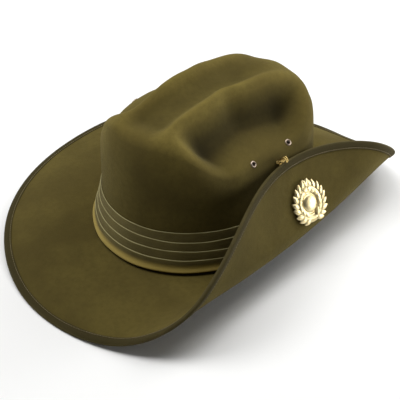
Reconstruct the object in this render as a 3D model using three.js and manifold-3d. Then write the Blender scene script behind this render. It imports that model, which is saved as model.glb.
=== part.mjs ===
import * as THREE from 'three';
import Module from 'manifold-3d';

// Felt slouch hat, left side of the brim hooked up against the crown.
// Millimetres. Plus X is the wearer's left, minus Y the front, plus Z up.
// Heights in the tables are over the foot of the crown; the finished hat is lifted onto z = 0.

const FELT = {
  thickness: 2.2,
  halfLength: 102.8,
  halfWidth: 86.6,
  brimWidth: 85.2,
  cornerRadius: 3.5,
};

// Crown top. The crest is the pair of ridges beside the middle crease.
const CREST = { height: 130.3, slope: -5.9, bow: -7.8, station: 70 };
// Added to the crest on each side, every 20 mm from 90 mm ahead of the middle to 90 mm behind it.
const CREST_LIFT_FROM = -90;
const CREST_LIFT_STEP = 20;
const CREST_LIFT = [
  { right: -0.6, left: -0 },
  { right: -3.9, left: 0.1 },
  { right: -1.4, left: 0.2 },
  { right: 3, left: 0.3 },
  { right: 4.5, left: 0.3 },
  { right: 4.9, left: 0.3 },
  { right: 1.9, left: 0.1 },
  { right: 0, left: -0.3 },
  { right: -2.1, left: -1.2 },
  { right: -5.7, left: -2.6 },
];
const LIFT_BLEND = { from: -6, to: 22 };
const CROWN_EDGE_POWER = 12.5;
const SECTION_STEP = 6;
// Drop from the crest height at 0, 6, 12 ... 96 mm out from the middle plane.
const SECTION = [
  { crease: -9.6, dent: 0, full: 0 },
  { crease: -9.4, dent: 0, full: 0 },
  { crease: -8.4, dent: 0, full: 0 },
  { crease: -4, dent: 0.4, full: 0 },
  { crease: 0.2, dent: 0.8, full: -0.3 },
  { crease: 0, dent: -15, full: -1.6 },
  { crease: 0, dent: -32, full: -4 },
  { crease: 0, dent: -37, full: -7.5 },
  { crease: 0, dent: -38.2, full: -11.5 },
  { crease: 0, dent: -39.4, full: -16 },
  { crease: 0, dent: -40.6, full: -20.5 },
  { crease: 0, dent: -42, full: -25.5 },
  { crease: 0, dent: -43.4, full: -31 },
  { crease: 0, dent: -45, full: -37 },
  { crease: 0, dent: -47, full: -43 },
  { crease: 0, dent: -49, full: -49 },
  { crease: 0, dent: -52, full: -56 },
];
// Where the sides of the crown stop falling away towards the back.
const REAR_FULL = { from: 35.3, to: 90, share: 0.65 };
// Where the crease and the side dents open and close along the hat.
const CREASE_ENDS = { frontFrom: -94, frontTo: -68, frontLeft: 0.15, backFrom: 28.3, backTo: 78.1 };
const DENT_ENDS = {
  frontFrom: -82, frontFromLean: 0, frontTo: -50, frontToLean: 0.15, frontOut: 33,
  backFrom: 44.8, backTo: 94.4, backLean: -0.5, backOut: 35,
  flare: 3.1, flareFrom: 25, flareTo: 75,
};
// How far the wall leans in: all round above the band, and more at the pinched sides.
const LEAN = { wall: 0.04, wallTop: 45, right: 0.074, left: 0.142, sideFrom: 33, sideTo: 66 };

// Brim droop, one control height for every 45 degrees from the front by the left.
const DROOP = [-31.97, 2.05, -3.14, 24.48, -39.93, 0.24, -12.84, -9.08];
const DROOP_POWER = 2.53;
const REST_HEIGHT = -21.2;
const REST_SOFTNESS = 1;
// The fold of the left brim: constant, linear and square part along y / station.
const FOLD = {
  station: 150,
  start: [84.6, -3.3, -28.4],
  radius: [16.9, -1.3, 32.9],
  angle: [115.3, 23.0, -24.2],
};

const BINDING = { width: 5.8, thickness: 0.9, gap: 0.45 };
// The hem stands a little higher on the left, over the brim's fold.
const BAND = { gap: 0.6, bottom: 4.4, leftRise: 2, riseFrom: 3, riseTo: 12 };
// Outside of the pleated band, from the flared hem up: height and stand-off.
const BAND_STEPS = [
  { z: 4.4, out: 5.6 },
  { z: 5.6, out: 5.4 },
  { z: 8.6, out: 3.9 },
  { z: 15.2, out: 3.9 },
  { z: 15.4, out: 3.0 },
  { z: 23.2, out: 3.0 },
  { z: 23.4, out: 2.1 },
  { z: 31.6, out: 2.1 },
  { z: 31.8, out: 1.2 },
  { z: 40.2, out: 1.2 },
];

const EYELET = { hole: 1.75, barrel: 2.15, crest: 2.5, flange: 3.05, cut: 2.55, gap: 0.85, height: 0.6 };
const EYELET_PLACES = [
  { name: 'eyelet_left_front', side: 1, y: -16.5, z: 83.2 },
  { name: 'eyelet_left_rear', side: 1, y: 30, z: 80.6 },
  { name: 'eyelet_right_front', side: -1, y: -13, z: 85 },
  { name: 'eyelet_right_rear', side: -1, y: 30, z: 82 },
];

// Badge: a wreath of leaves round a plain domed boss.
const BADGE = { phi: 99, q: 0.52, radius: 19.5, plate: 1.2, gap: 1.2, leaves: 12, leafDepth: 0.13, boss: 8.5 };
// Wire hook on the brim edge, through a wire eye on the crown. Runs are from the brim edge, in X and up.
const FASTENER = { wire: 0.6, phi: 93.8, footRise: 3.2, eyeRise: 5.6, eyeHalf: 2.6, eyeReach: 1.6, eyeStand: 1.1 };
const HOOK_RUN = [
  { out: -0.9, up: 1.9 },
  { out: -0.9, up: 4.4 },
  { out: -0.8, up: 6.6 },
  { out: 0.3, up: 8.4 },
  { out: 2.0, up: 8.9 },
  { out: 3.7, up: 8.0 },
  { out: 4.3, up: 6.2 },
];

const COLUMNS = 64;
const BRIM_ROWS = [1, 0.92, 0.77, 0.62, 0.48, 0.38, 0.28, 0.17];
const WALL_ROWS = [0.18, 0.36, 0.6, 0.8];
// Rings over the crown top, from the wall in to the crease; power under 1 squares a ring's corners.
const TOP_RINGS = [
  { x: 82.7, y: 98.2, power: 1 },
  { x: 78, y: 92.8, power: 1 },
  { x: 70, y: 87.5, power: 0.97 },
  { x: 60, y: 83, power: 0.92 },
  { x: 50, y: 79.5, power: 0.86 },
  { x: 42, y: 76.5, power: 0.8 },
  { x: 36, y: 74, power: 0.74 },
  { x: 31, y: 71.5, power: 0.68 },
  { x: 27, y: 69, power: 0.62 },
  { x: 22.5, y: 65, power: 0.6 },
  { x: 16, y: 56, power: 0.62 },
  { x: 8, y: 38, power: 0.75 },
];

const COLOUR = { felt: 0x5f5433, band: 0x756a3c, binding: 0x3d3726, brass: 0x8f7a45, gilt: 0xcdbd83 };

const clamp = (v, low, high) => Math.min(Math.max(v, low), high);

function smoothStep(from, to, v) {
  const t = clamp((v - from) / (to - from), 0, 1);
  return t * t * (3 - 2 * t);
}

// Smooth curve weights for the four table rows around a place t between the middle two.
function curveWeights(t) {
  const s = 1 - t;
  return [s ** 3 / 6, (3 * t ** 3 - 6 * t ** 2 + 4) / 6, (3 * s ** 3 - 6 * s ** 2 + 4) / 6, t ** 3 / 6];
}

function sectionValue(column, distance) {
  const last = SECTION.length - 1;
  const u = clamp(distance / SECTION_STEP, 0, last);
  const i = Math.min(Math.floor(u), last);
  const w = curveWeights(u - i);
  const read = (k) => {
    if (k < 0) return SECTION[-k][column];
    if (k > last) return SECTION[last][column] + (k - last) * (SECTION[last][column] - SECTION[last - 1][column]);
    return SECTION[k][column];
  };
  return w[0] * read(i - 1) + w[1] * read(i) + w[2] * read(i + 1) + w[3] * read(i + 2);
}

function droopValue(angle) {
  const n = DROOP.length;
  const turn = angle / (2 * Math.PI);
  const u = (turn - Math.floor(turn)) * n;
  const i = Math.floor(u);
  const w = curveWeights(u - i);
  return w.reduce((sum, weight, k) => sum + weight * DROOP[(i + k - 1 + n) % n], 0);
}

function liftValue(column, y) {
  const last = CREST_LIFT.length - 1;
  const u = clamp((y - CREST_LIFT_FROM) / CREST_LIFT_STEP, 0, last);
  const i = Math.floor(u);
  const read = (k) => CREST_LIFT[clamp(k, 0, last)][column];
  return curveWeights(u - i).reduce((sum, weight, k) => sum + weight * read(i + k - 1), 0);
}

// Height of the crown top over the foot of the crown, before the wall rounds it off.
function crownHeight(x, y) {
  const out = Math.abs(x);
  const t = y / CREST.station;
  const lift = liftValue('right', y) * smoothStep(LIFT_BLEND.from, LIFT_BLEND.to, -x)
    + liftValue('left', y) * smoothStep(LIFT_BLEND.from, LIFT_BLEND.to, x);
  const crest = CREST.height + CREST.slope * t + CREST.bow * t * t + lift;
  const c = CREASE_ENDS;
  const front = c.frontLeft + (1 - c.frontLeft) * smoothStep(c.frontFrom, c.frontTo, y);
  const crease = front * (1 - smoothStep(c.backFrom, c.backTo, y));
  const d = DENT_ENDS;
  const ahead = out - d.frontOut;
  const behind = out - d.backOut;
  const opens = smoothStep(d.frontFrom + d.frontFromLean * ahead, d.frontTo + d.frontToLean * ahead, y);
  const closes = smoothStep(d.backFrom + d.backLean * behind, d.backTo + d.backLean * behind, y);
  const dent = opens * (1 - closes);
  const flare = d.flare * smoothStep(d.flareFrom, d.flareTo, y);
  const dented = sectionValue('dent', Math.max(out - flare, 0));
  const rear = 1 - REAR_FULL.share * smoothStep(REAR_FULL.from, REAR_FULL.to, y);
  const full = rear * sectionValue('full', out);
  return crest + crease * sectionValue('crease', out) + dent * dented + (1 - dent) * full;
}

// Middle of the felt on the crown, over a point of the flat plan, v being the share of its height.
function crownPoint(x, y, v) {
  const z = v * crownHeight(x, y);
  const phi = Math.atan2(x / FELT.halfWidth, -y / FELT.halfLength);
  const side = Math.abs(Math.sin(phi)) ** 8 * (x > 0 ? LEAN.left : LEAN.right);
  const wall = LEAN.wall * smoothStep(-1, 0.2, Math.cos(phi)) * smoothStep(0, LEAN.wallTop, z);
  const lean = 1 - wall - side * smoothStep(LEAN.sideFrom, LEAN.sideTo, z);
  return new THREE.Vector3(x * lean, y * lean, z);
}

const roundOff = (share) => (1 - Math.min(share, 1) ** CROWN_EDGE_POWER) ** (1 / CROWN_EDGE_POWER);

function wallPoint(phi, v) {
  const s = roundOff(v);
  return crownPoint(FELT.halfWidth * s * Math.sin(phi), -FELT.halfLength * s * Math.cos(phi), v);
}

const topPoint = (x, y) => crownPoint(x, y, roundOff(Math.hypot(x / FELT.halfWidth, y / FELT.halfLength)));

function ringPoint(phi, ring) {
  const squared = (v) => Math.sign(v) * Math.abs(v) ** ring.power;
  return topPoint(ring.x * squared(Math.sin(phi)), -ring.y * squared(Math.cos(phi)));
}

// Wall point at a stated height, found by halving.
function wallAtHeight(phi, height) {
  let low = 0;
  let high = 0.9;
  for (let i = 0; i < 30; i += 1) {
    const middle = (low + high) / 2;
    if (wallPoint(phi, middle).z < height) low = middle;
    else high = middle;
  }
  return wallPoint(phi, (low + high) / 2);
}

const along = (parts, t) => parts[0] + parts[1] * t + parts[2] * t * t;

// A strip that starts flat, turns round an arc and goes on straight: how far out and up.
function bend(distance, radius, angle) {
  const turned = clamp(distance / radius, 0, angle);
  const rest = Math.max(distance - radius * angle, 0);
  const out = distance < 0 ? distance : radius * Math.sin(turned) + rest * Math.cos(angle);
  const up = radius * (1 - Math.cos(turned)) + rest * Math.sin(angle);
  return { out, up };
}

// Middle of the felt on the brim: q runs from 0 at the crown to 1 at the edge.
function brimPoint(phi, q) {
  const { halfLength, halfWidth, brimWidth } = FELT;
  const x = (halfWidth + q * brimWidth) * Math.sin(phi);
  const y = -(halfLength + q * brimWidth) * Math.cos(phi);
  const t = y / FOLD.station;
  const start = along(FOLD.start, t);
  const radius = Math.max(along(FOLD.radius, t), 5);
  const angle = THREE.MathUtils.degToRad(along(FOLD.angle, t));
  const flat = Math.min(x, start);
  let near = q;
  for (let i = 0; i < 20; i += 1) {
    const a = halfLength + near * brimWidth;
    const b = halfWidth + near * brimWidth;
    const miss = (flat / b) ** 2 + (y / a) ** 2 - 1;
    const rate = -2 * brimWidth * (flat ** 2 / b ** 3 + y ** 2 / a ** 3);
    near = clamp(near - miss / rate, -0.3, 1.2);
  }
  const turn = Math.atan2(flat / (halfWidth + near * brimWidth), -y / (halfLength + near * brimWidth));
  let z = droopValue(turn) * Math.max(near, 0) ** DROOP_POWER;
  let outX = x;
  if (x > start) {
    const foot = halfWidth * Math.sqrt(Math.max(1 - (y / halfLength) ** 2, 0));
    const here = bend(x - start, radius, angle);
    const base = bend(Math.max(foot - start, 0), radius, angle);
    outX = start + here.out + Math.max(foot - start, 0) - base.out;
    z += here.up - base.up;
  }
  const over = z - REST_HEIGHT;
  z = REST_HEIGHT + 0.5 * (over + Math.sqrt(over * over + REST_SOFTNESS));
  return new THREE.Vector3(outX, y, z);
}

const angles = Array.from({ length: COLUMNS }, (_, i) => (2 * Math.PI * i) / COLUMNS);

// Rounded corner between brim and wall, t from 0 on the brim to 1 on the wall.
function cornerPoint(phi, t) {
  const r = FELT.cornerRadius;
  const turn = (t * Math.PI) / 2;
  const foot = wallPoint(phi, 0);
  const outer = brimPoint(phi, r / FELT.brimWidth);
  const wall = wallAtHeight(phi, r);
  const rise = 1 - Math.cos(turn);
  const flat = outer.clone().lerp(foot, Math.sin(turn));
  return flat.add(wall.clone().sub(foot).multiplyScalar(rise));
}

function feltRows(phi) {
  const rows = BRIM_ROWS.map((q) => brimPoint(phi, q));
  [0, 0.5, 1].forEach((t) => rows.push(cornerPoint(phi, t)));
  WALL_ROWS.forEach((v) => rows.push(wallPoint(phi, v)));
  TOP_RINGS.forEach((ring) => rows.push(ringPoint(phi, ring)));
  return rows;
}

const grid = angles.map(feltRows);
const ROWS = grid[0].length;
const pole = topPoint(0, 0);

// Normal of the felt at each grid point, from its neighbours, facing up and out.
function gridNormal(i, j) {
  const next = grid[(i + 1) % COLUMNS][j];
  const before = grid[(i + COLUMNS - 1) % COLUMNS][j];
  const inner = j + 1 < ROWS ? grid[i][j + 1] : pole;
  const outer = grid[i][Math.max(j - 1, 0)];
  const here = grid[i][j];
  const a = inner.clone().sub(here).normalize();
  const b = here.clone().sub(outer);
  const run = b.lengthSq() > 0 ? a.add(b.normalize()) : a;
  return next.clone().sub(before).cross(run).normalize();
}

const normals = grid.map((rows, i) => rows.map((_, j) => gridNormal(i, j)));

function geometryFrom(points, faces) {
  const geometry = new THREE.BufferGeometry();
  geometry.setAttribute('position', new THREE.Float32BufferAttribute(points.flatMap((p) => [p.x, p.y, p.z]), 3));
  geometry.setIndex(faces.flat());
  geometry.computeVertexNormals();
  return geometry;
}

// Faces between rings of equal length; closed joins the last ring to the first.
// Strips listed in turned are cut along their other diagonal.
function ringFaces(count, size, closed, turned = []) {
  const faces = [];
  const last = closed ? count : count - 1;
  for (let i = 0; i < last; i += 1) {
    for (let j = 0; j < size; j += 1) {
      const a = i * size + j;
      const b = i * size + ((j + 1) % size);
      const c = ((i + 1) % count) * size + ((j + 1) % size);
      const d = ((i + 1) % count) * size + j;
      if (turned.includes(j)) faces.push([a, b, d], [b, c, d]);
      else faces.push([a, b, c], [a, c, d]);
    }
  }
  return faces;
}

function feltGeometry() {
  const points = [];
  const half = FELT.thickness / 2;
  const both = [1, -1];
  both.forEach((side) => {
    for (let i = 0; i < COLUMNS; i += 1) {
      for (let j = 0; j < ROWS; j += 1) points.push(grid[i][j].clone().addScaledVector(normals[i][j], side * half));
    }
  });
  both.forEach((side) => points.push(pole.clone().add(new THREE.Vector3(0, 0, side * half))));
  const size = COLUMNS * ROWS;
  const faces = [];
  for (let i = 0; i < COLUMNS; i += 1) {
    const k = (i + 1) % COLUMNS;
    for (let j = 0; j < ROWS - 1; j += 1) {
      const a = i * ROWS + j;
      const b = k * ROWS + j;
      faces.push([a, b, b + 1], [a, b + 1, a + 1]);
      faces.push([size + a, size + b + 1, size + b], [size + a, size + a + 1, size + b + 1]);
    }
    const a = i * ROWS;
    const b = k * ROWS;
    faces.push([a, size + b, b], [a, size + a, size + b]);
    faces.push([a + ROWS - 1, b + ROWS - 1, 2 * size]);
    faces.push([size + b + ROWS - 1, size + a + ROWS - 1, 2 * size + 1]);
  }
  return geometryFrom(points, faces);
}

// U-shaped binding over the raw edge of the brim.
function bindingGeometry() {
  const inner = FELT.thickness / 2 + BINDING.gap;
  const outer = inner + BINDING.thickness;
  const g = BINDING.gap;
  const t = BINDING.thickness;
  const w = BINDING.width;
  const profile = [
    [w, inner], [w, outer], [0, outer], [-g - 0.7 * t, 0.6 * outer], [-g - t, 0],
    [-g - 0.7 * t, -0.6 * outer], [0, -outer], [w, -outer], [w, -inner], [-g, -inner], [-g, inner],
  ];
  const points = [];
  const floor = REST_HEIGHT - outer + 0.9;
  for (let i = 0; i < COLUMNS; i += 1) {
    const edge = grid[i][0];
    const inward = grid[i][1].clone().sub(edge);
    const reach = inward.length();
    profile.forEach(([run, rise]) => {
      const normal = normals[i][0].clone().lerp(normals[i][1], clamp(run / reach, 0, 1)).normalize();
      const p = edge.clone().addScaledVector(inward, run / reach).addScaledVector(normal, rise);
      p.z = Math.max(p.z, floor);
      points.push(p);
    });
  }
  return geometryFrom(points, ringFaces(COLUMNS, profile.length, true, [6, 8]));
}

// Pleated cloth band round the foot of the crown.
function bandGeometry() {
  const stand = FELT.thickness / 2 + BAND.gap;
  const points = [];
  const top = BAND_STEPS[BAND_STEPS.length - 1].z;
  const inside = [top, 33, 18, BAND.bottom];
  for (let i = 0; i < COLUMNS; i += 1) {
    const phi = angles[i];
    const rise = BAND.leftRise * Math.max(Math.sin(phi), 0) ** 3;
    const place = (height, out) => {
      const z = height + rise * (1 - smoothStep(BAND.riseFrom, BAND.riseTo, height));
      const p = wallAtHeight(phi, z);
      const q = wallAtHeight(phi + 0.01, z);
      const away = new THREE.Vector3(q.y - p.y, p.x - q.x, 0).normalize();
      if (away.x * p.x + away.y * p.y < 0) away.negate();
      return p.addScaledVector(away, stand + out);
    };
    inside.forEach((z) => points.push(place(z, 0)));
    BAND_STEPS.forEach(({ z, out }) => points.push(place(z, out)));
  }
  const faces = ringFaces(COLUMNS, inside.length + BAND_STEPS.length, true);
  return geometryFrom(points, faces.map(([a, b, c]) => [a, c, b]));
}

// Crown point at a stated y and z on one side, with the outward normal there.
function sidePlace(side, y, z) {
  let low = 0.5;
  let high = 0.99;
  const planY = (x) => y / (topPoint(x, y).y / y || 1);
  const across = FELT.halfWidth * Math.sqrt(1 - (y / FELT.halfLength) ** 2);
  for (let i = 0; i < 40; i += 1) {
    const middle = (low + high) / 2;
    const x = side * middle * across;
    if (topPoint(x, planY(x)).z > z) low = middle;
    else high = middle;
  }
  const x = side * low * across;
  const plan = planY(x);
  const point = topPoint(x, plan);
  const a = topPoint(x + 0.5, plan).sub(topPoint(x - 0.5, plan));
  const b = topPoint(x, plan + 0.5).sub(topPoint(x, plan - 0.5));
  return { point, normal: a.cross(b).normalize() };
}

function frameAt(point, normal) {
  const turn = new THREE.Quaternion().setFromUnitVectors(new THREE.Vector3(0, 0, 1), normal);
  return new THREE.Matrix4().compose(point, turn, new THREE.Vector3(1, 1, 1));
}

// Flanged metal eyelet, turned about its own axis.
function eyeletGeometry() {
  const face = FELT.thickness / 2 + EYELET.gap;
  const { hole, barrel, crest, flange, height } = EYELET;
  const profile = [
    [hole, face + 0.4 * height], [hole, -face - 0.4 * height], [crest, -face - height], [flange, -face],
    [barrel, -face], [barrel, face], [flange, face], [crest, face + height],
  ];
  const count = 10;
  const points = [];
  for (let i = 0; i < count; i += 1) {
    const turn = (2 * Math.PI * i) / count;
    profile.forEach(([r, z]) => points.push(new THREE.Vector3(r * Math.cos(turn), r * Math.sin(turn), z)));
  }
  const faces = ringFaces(count, profile.length, true).map(([a, b, c]) => [a, c, b]);
  return geometryFrom(points, faces);
}

// Flat-backed badge: scalloped wreath, a dish inside it and a domed boss.
function badgeGeometry() {
  const count = 48;
  const rings = [
    { r: 1, z: BADGE.plate, wave: 1 },
    { r: 0.86, z: BADGE.plate + 1.1, wave: 0.5 },
    { r: 0.66, z: BADGE.plate + 1.2, wave: 0 },
    { r: 0.54, z: BADGE.plate + 0.2, wave: 0 },
    { r: BADGE.boss / BADGE.radius, z: BADGE.plate + 0.2, wave: 0 },
    { r: 0.3, z: BADGE.plate + 1.9, wave: 0 },
  ];
  const points = [];
  const ringAt = (r, z, wave) => {
    for (let i = 0; i < count; i += 1) {
      const turn = (2 * Math.PI * i) / count;
      const leaf = wave * BADGE.leafDepth * (Math.abs(Math.cos((turn * BADGE.leaves) / 2)) - 0.5);
      const size = BADGE.radius * (r + leaf);
      points.push(new THREE.Vector3(size * Math.cos(turn), size * Math.sin(turn), z));
    }
  };
  ringAt(1, 0, 1);
  rings.forEach(({ r, z, wave }) => ringAt(r, z, wave));
  const faces = ringFaces(rings.length + 1, count, false);
  points.push(new THREE.Vector3(0, 0, 0));
  points.push(new THREE.Vector3(0, 0, BADGE.plate + 2.5));
  const bottom = points.length - 2;
  const last = rings.length * count;
  for (let i = 0; i < count; i += 1) {
    const k = (i + 1) % count;
    faces.push([bottom, k, i]);
    faces.push([last + i, last + k, bottom + 1]);
  }
  return geometryFrom(points, faces);
}

// Round wire along a list of points, with flat ends.
function wireGeometry(path, radius) {
  const count = 6;
  const curve = new THREE.CatmullRomCurve3(path);
  const steps = path.length * 2;
  const frames = curve.computeFrenetFrames(steps, false);
  const points = [];
  for (let i = 0; i <= steps; i += 1) {
    const middle = curve.getPointAt(i / steps);
    for (let j = 0; j < count; j += 1) {
      const turn = (2 * Math.PI * j) / count;
      points.push(middle.clone()
        .addScaledVector(frames.normals[i], radius * Math.cos(turn))
        .addScaledVector(frames.binormals[i], radius * Math.sin(turn)));
    }
  }
  const faces = ringFaces(steps + 1, count, false);
  const first = points.push(curve.getPointAt(0)) - 1;
  const last = points.push(curve.getPointAt(1)) - 1;
  for (let j = 0; j < count; j += 1) {
    const k = (j + 1) % count;
    faces.push([first, k, j]);
    faces.push([last, steps * count + j, steps * count + k]);
  }
  return geometryFrom(points, faces);
}

const wasm = await Module();
wasm.setup();

function toSolid(geometry) {
  return new wasm.Manifold(new wasm.Mesh({
    numProp: 3,
    vertProperties: new Float32Array(geometry.attributes.position.array),
    triVerts: new Uint32Array(geometry.index.array),
  }));
}

function fromSolid(solid) {
  const mesh = solid.getMesh();
  const geometry = new THREE.BufferGeometry();
  geometry.setAttribute('position', new THREE.Float32BufferAttribute(Array.from(mesh.vertProperties), 3));
  geometry.setIndex(Array.from(mesh.triVerts));
  geometry.computeVertexNormals();
  return geometry;
}

const eyeletFrames = EYELET_PLACES.map(({ side, y, z }) => {
  const { point, normal } = sidePlace(side, y, z);
  return frameAt(point, normal);
});

// The felt with a round hole for each eyelet.
function piercedFelt() {
  let solid = toSolid(feltGeometry());
  eyeletFrames.forEach((frame) => {
    const drill = new THREE.CylinderGeometry(EYELET.cut, EYELET.cut, 12, 12);
    drill.deleteAttribute('normal');
    drill.deleteAttribute('uv');
    drill.rotateX(Math.PI / 2);
    drill.applyMatrix4(frame);
    solid = solid.subtract(toSolid(weld(drill)));
  });
  return fromSolid(solid);
}

// Same shape with corners at one place made into one.
function weld(geometry) {
  const seen = new Map();
  const points = [];
  const position = geometry.attributes.position;
  const renamed = [];
  for (let i = 0; i < position.count; i += 1) {
    const p = new THREE.Vector3().fromBufferAttribute(position, i);
    const key = p.toArray().map((v) => Math.round(v * 1e4)).join();
    if (!seen.has(key)) seen.set(key, points.push(p) - 1);
    renamed.push(seen.get(key));
  }
  const faces = [];
  for (let i = 0; i < geometry.index.count; i += 3) {
    const face = [0, 1, 2].map((k) => renamed[geometry.index.getX(i + k)]);
    if (new Set(face).size === 3) faces.push(face);
  }
  return geometryFrom(points, faces);
}

// Frame on the outer face of the turned-up brim: Z away from the felt, Y towards the brim edge.
function flapFrame(phiDegrees, q, lift) {
  const phi = THREE.MathUtils.degToRad(phiDegrees);
  const point = brimPoint(phi, q);
  const up = brimPoint(phi, q + 0.1).sub(brimPoint(phi, q - 0.1)).normalize();
  const across = brimPoint(phi + 0.08, q).sub(brimPoint(phi - 0.08, q));
  const away = across.cross(up).normalize();
  if (away.x < 0) away.negate();
  const side = up.clone().cross(away).normalize();
  point.addScaledVector(away, lift);
  return new THREE.Matrix4().makeBasis(side, up, away).setPosition(point);
}

const hookEdge = brimPoint(THREE.MathUtils.degToRad(FASTENER.phi), 1);

function hookGeometry() {
  const path = HOOK_RUN.map(({ out, up }) => new THREE.Vector3(hookEdge.x + out, hookEdge.y, hookEdge.z + up));
  return wireGeometry(path, FASTENER.wire);
}

function eyeGeometry() {
  const wide = FASTENER.eyeHalf;
  const tip = new THREE.Vector3(hookEdge.x + FASTENER.eyeReach, hookEdge.y, hookEdge.z + FASTENER.eyeRise);
  const path = [-1, 1].flatMap((end) => {
    const { point, normal } = sidePlace(1, hookEdge.y + end * wide, hookEdge.z + FASTENER.footRise);
    const foot = point.addScaledVector(normal, FELT.thickness / 2 + FASTENER.eyeStand);
    const bow = new THREE.Vector3(tip.x - 0.8, hookEdge.y + 0.65 * end * wide, tip.z - 0.3);
    const middle = foot.clone().lerp(bow, 0.5).setY(hookEdge.y + end * wide);
    return end < 0 ? [foot, middle, bow] : [bow, middle, foot];
  });
  path.splice(3, 0, tip);
  return wireGeometry(path, FASTENER.wire);
}

const hat = new THREE.Group();
hat.name = 'slouch_hat';

function addPiece(name, geometry, color, roughness, metalness) {
  const mesh = new THREE.Mesh(geometry, new THREE.MeshStandardMaterial({ color, roughness, metalness }));
  mesh.name = name;
  hat.add(mesh);
}

addPiece('felt_body', piercedFelt(), COLOUR.felt, 0.95, 0);
addPiece('puggaree_band', bandGeometry(), COLOUR.band, 0.9, 0);
addPiece('edge_binding', bindingGeometry(), COLOUR.binding, 0.85, 0);
EYELET_PLACES.forEach(({ name }, i) => {
  addPiece(name, eyeletGeometry().applyMatrix4(eyeletFrames[i]), COLOUR.brass, 0.4, 0.9);
});
const badgeFrame = flapFrame(BADGE.phi, BADGE.q, FELT.thickness / 2 + BADGE.gap);
addPiece('badge', badgeGeometry().applyMatrix4(badgeFrame), COLOUR.gilt, 0.35, 0.9);
addPiece('brim_hook', hookGeometry(), COLOUR.brass, 0.35, 0.9);
addPiece('crown_eye', eyeGeometry(), COLOUR.brass, 0.35, 0.9);

// Stand the hat on z = 0 with the middle of its outline over the origin.
const outline = new THREE.Box3().setFromObject(hat);
const middle = outline.getCenter(new THREE.Vector3());
hat.children.forEach((mesh) => mesh.geometry.translate(-middle.x, -middle.y, -outline.min.z));

export default hat;
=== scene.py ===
"""Felt slouch hat with its left brim hooked up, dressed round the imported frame.

Shapes are worked out in millimetres over the foot of the crown and placed in metres in the frame:
plus X is the wearer's left, minus Y the front, plus Z up.
"""

import logging
import math
from dataclasses import dataclass
from enum import Enum
from typing import Callable, Optional, Sequence

import bpy
import numpy as np
from mathutils import Matrix, Vector
from mathutils.kdtree import KDTree


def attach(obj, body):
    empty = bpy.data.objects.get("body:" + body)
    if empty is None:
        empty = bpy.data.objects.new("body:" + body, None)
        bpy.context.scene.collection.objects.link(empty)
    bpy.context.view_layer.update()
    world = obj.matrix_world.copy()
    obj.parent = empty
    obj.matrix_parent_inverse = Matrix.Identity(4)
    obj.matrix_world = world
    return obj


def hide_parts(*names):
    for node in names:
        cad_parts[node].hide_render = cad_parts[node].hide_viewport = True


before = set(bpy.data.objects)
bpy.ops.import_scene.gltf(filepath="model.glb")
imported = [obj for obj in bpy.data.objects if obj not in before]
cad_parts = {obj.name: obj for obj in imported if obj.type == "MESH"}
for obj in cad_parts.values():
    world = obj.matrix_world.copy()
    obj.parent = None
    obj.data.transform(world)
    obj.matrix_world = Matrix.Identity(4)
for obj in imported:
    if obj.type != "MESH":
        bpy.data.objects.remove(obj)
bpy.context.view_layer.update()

log = logging.getLogger("slouch_hat")

Array = np.ndarray
Faces = list[tuple[int, ...]]
Shape = tuple[Array, Faces]
Colour = tuple[float, float, float]
Socket = bpy.types.NodeSocket
BODY = "root"
TO_METRES = 0.001
# From the foot of the crown to the frame's origin, in millimetres.
SHIFT = np.array([31.0105, 0.0007, 22.75])

# Drop of the crown top from its crest, at every SECTION_STEP out from the middle plane.
SECTION_STEP = 6.0
SECTION: dict[str, tuple[float, ...]] = {
    "crease": (-9.6, -9.4, -8.4, -4.0, 0.2) + (0.0,) * 12,
    "dent": (0, 0, 0, 0.4, 0.8, -15, -32, -37, -38.2, -39.4, -40.6, -42, -43.4, -45, -47, -49, -52),
    "full": (0, 0, 0, 0, -0.3, -1.6, -4, -7.5, -11.5, -16, -20.5, -25.5, -31, -37, -43, -49, -56),
}
# Added to the crest on each side, every LIFT_STEP from LIFT_FROM to the back.
LIFT_FROM = -90.0
LIFT_STEP = 20.0
LIFT_BLEND = (-6.0, 22.0)
LIFT: dict[str, tuple[float, ...]] = {
    "right": (-0.6, -3.9, -1.4, 3.0, 4.5, 4.9, 1.9, 0.0, -2.1, -5.7),
    "left": (-0.0, 0.1, 0.2, 0.3, 0.3, 0.3, 0.1, -0.3, -1.2, -2.6),
}
# Brim droop, one control height for every 45 degrees from the front by the left.
DROOP = (-31.97, 2.05, -3.14, 24.48, -39.93, 0.24, -12.84, -9.08)
# Rings over the crown top, from the wall in to the crease: half sizes and squareness.
TOP_RINGS = (
    (82.7, 98.2, 1.0), (78, 92.8, 1.0), (70, 87.5, 0.97), (60, 83, 0.92), (50, 79.5, 0.86), (42, 76.5, 0.8),
    (36, 74, 0.74), (31, 71.5, 0.68), (27, 69, 0.62), (22.5, 65, 0.6), (16, 56, 0.62), (8, 38, 0.75),
    (4, 19, 0.85), (1.5, 7, 1.0),
)


class Side(Enum):
    """Wearer's side of the hat."""

    LEFT = 1.0
    RIGHT = -1.0


class Face(Enum):
    """Face of the felt."""

    UPPER = 1.0
    UNDER = -1.0


class Metal(Enum):
    """Kinds of metal on the hat."""

    AGED_BRASS = "aged_brass"
    GILT = "gilt_metal"
    EYELET = "eyelet_brass"


# Curves and tables


def smooth_step(start: Array | float, stop: Array | float, value: Array) -> Array:
    """Eases from 0 to 1.

    Args:
        start: Value where the step begins.
        stop: Value where it is done.
        value: Values to ease.

    Returns:
        The eased shares.
    """
    share = np.clip((value - start) / (stop - start), 0.0, 1.0)
    return share * share * (3.0 - 2.0 * share)


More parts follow.
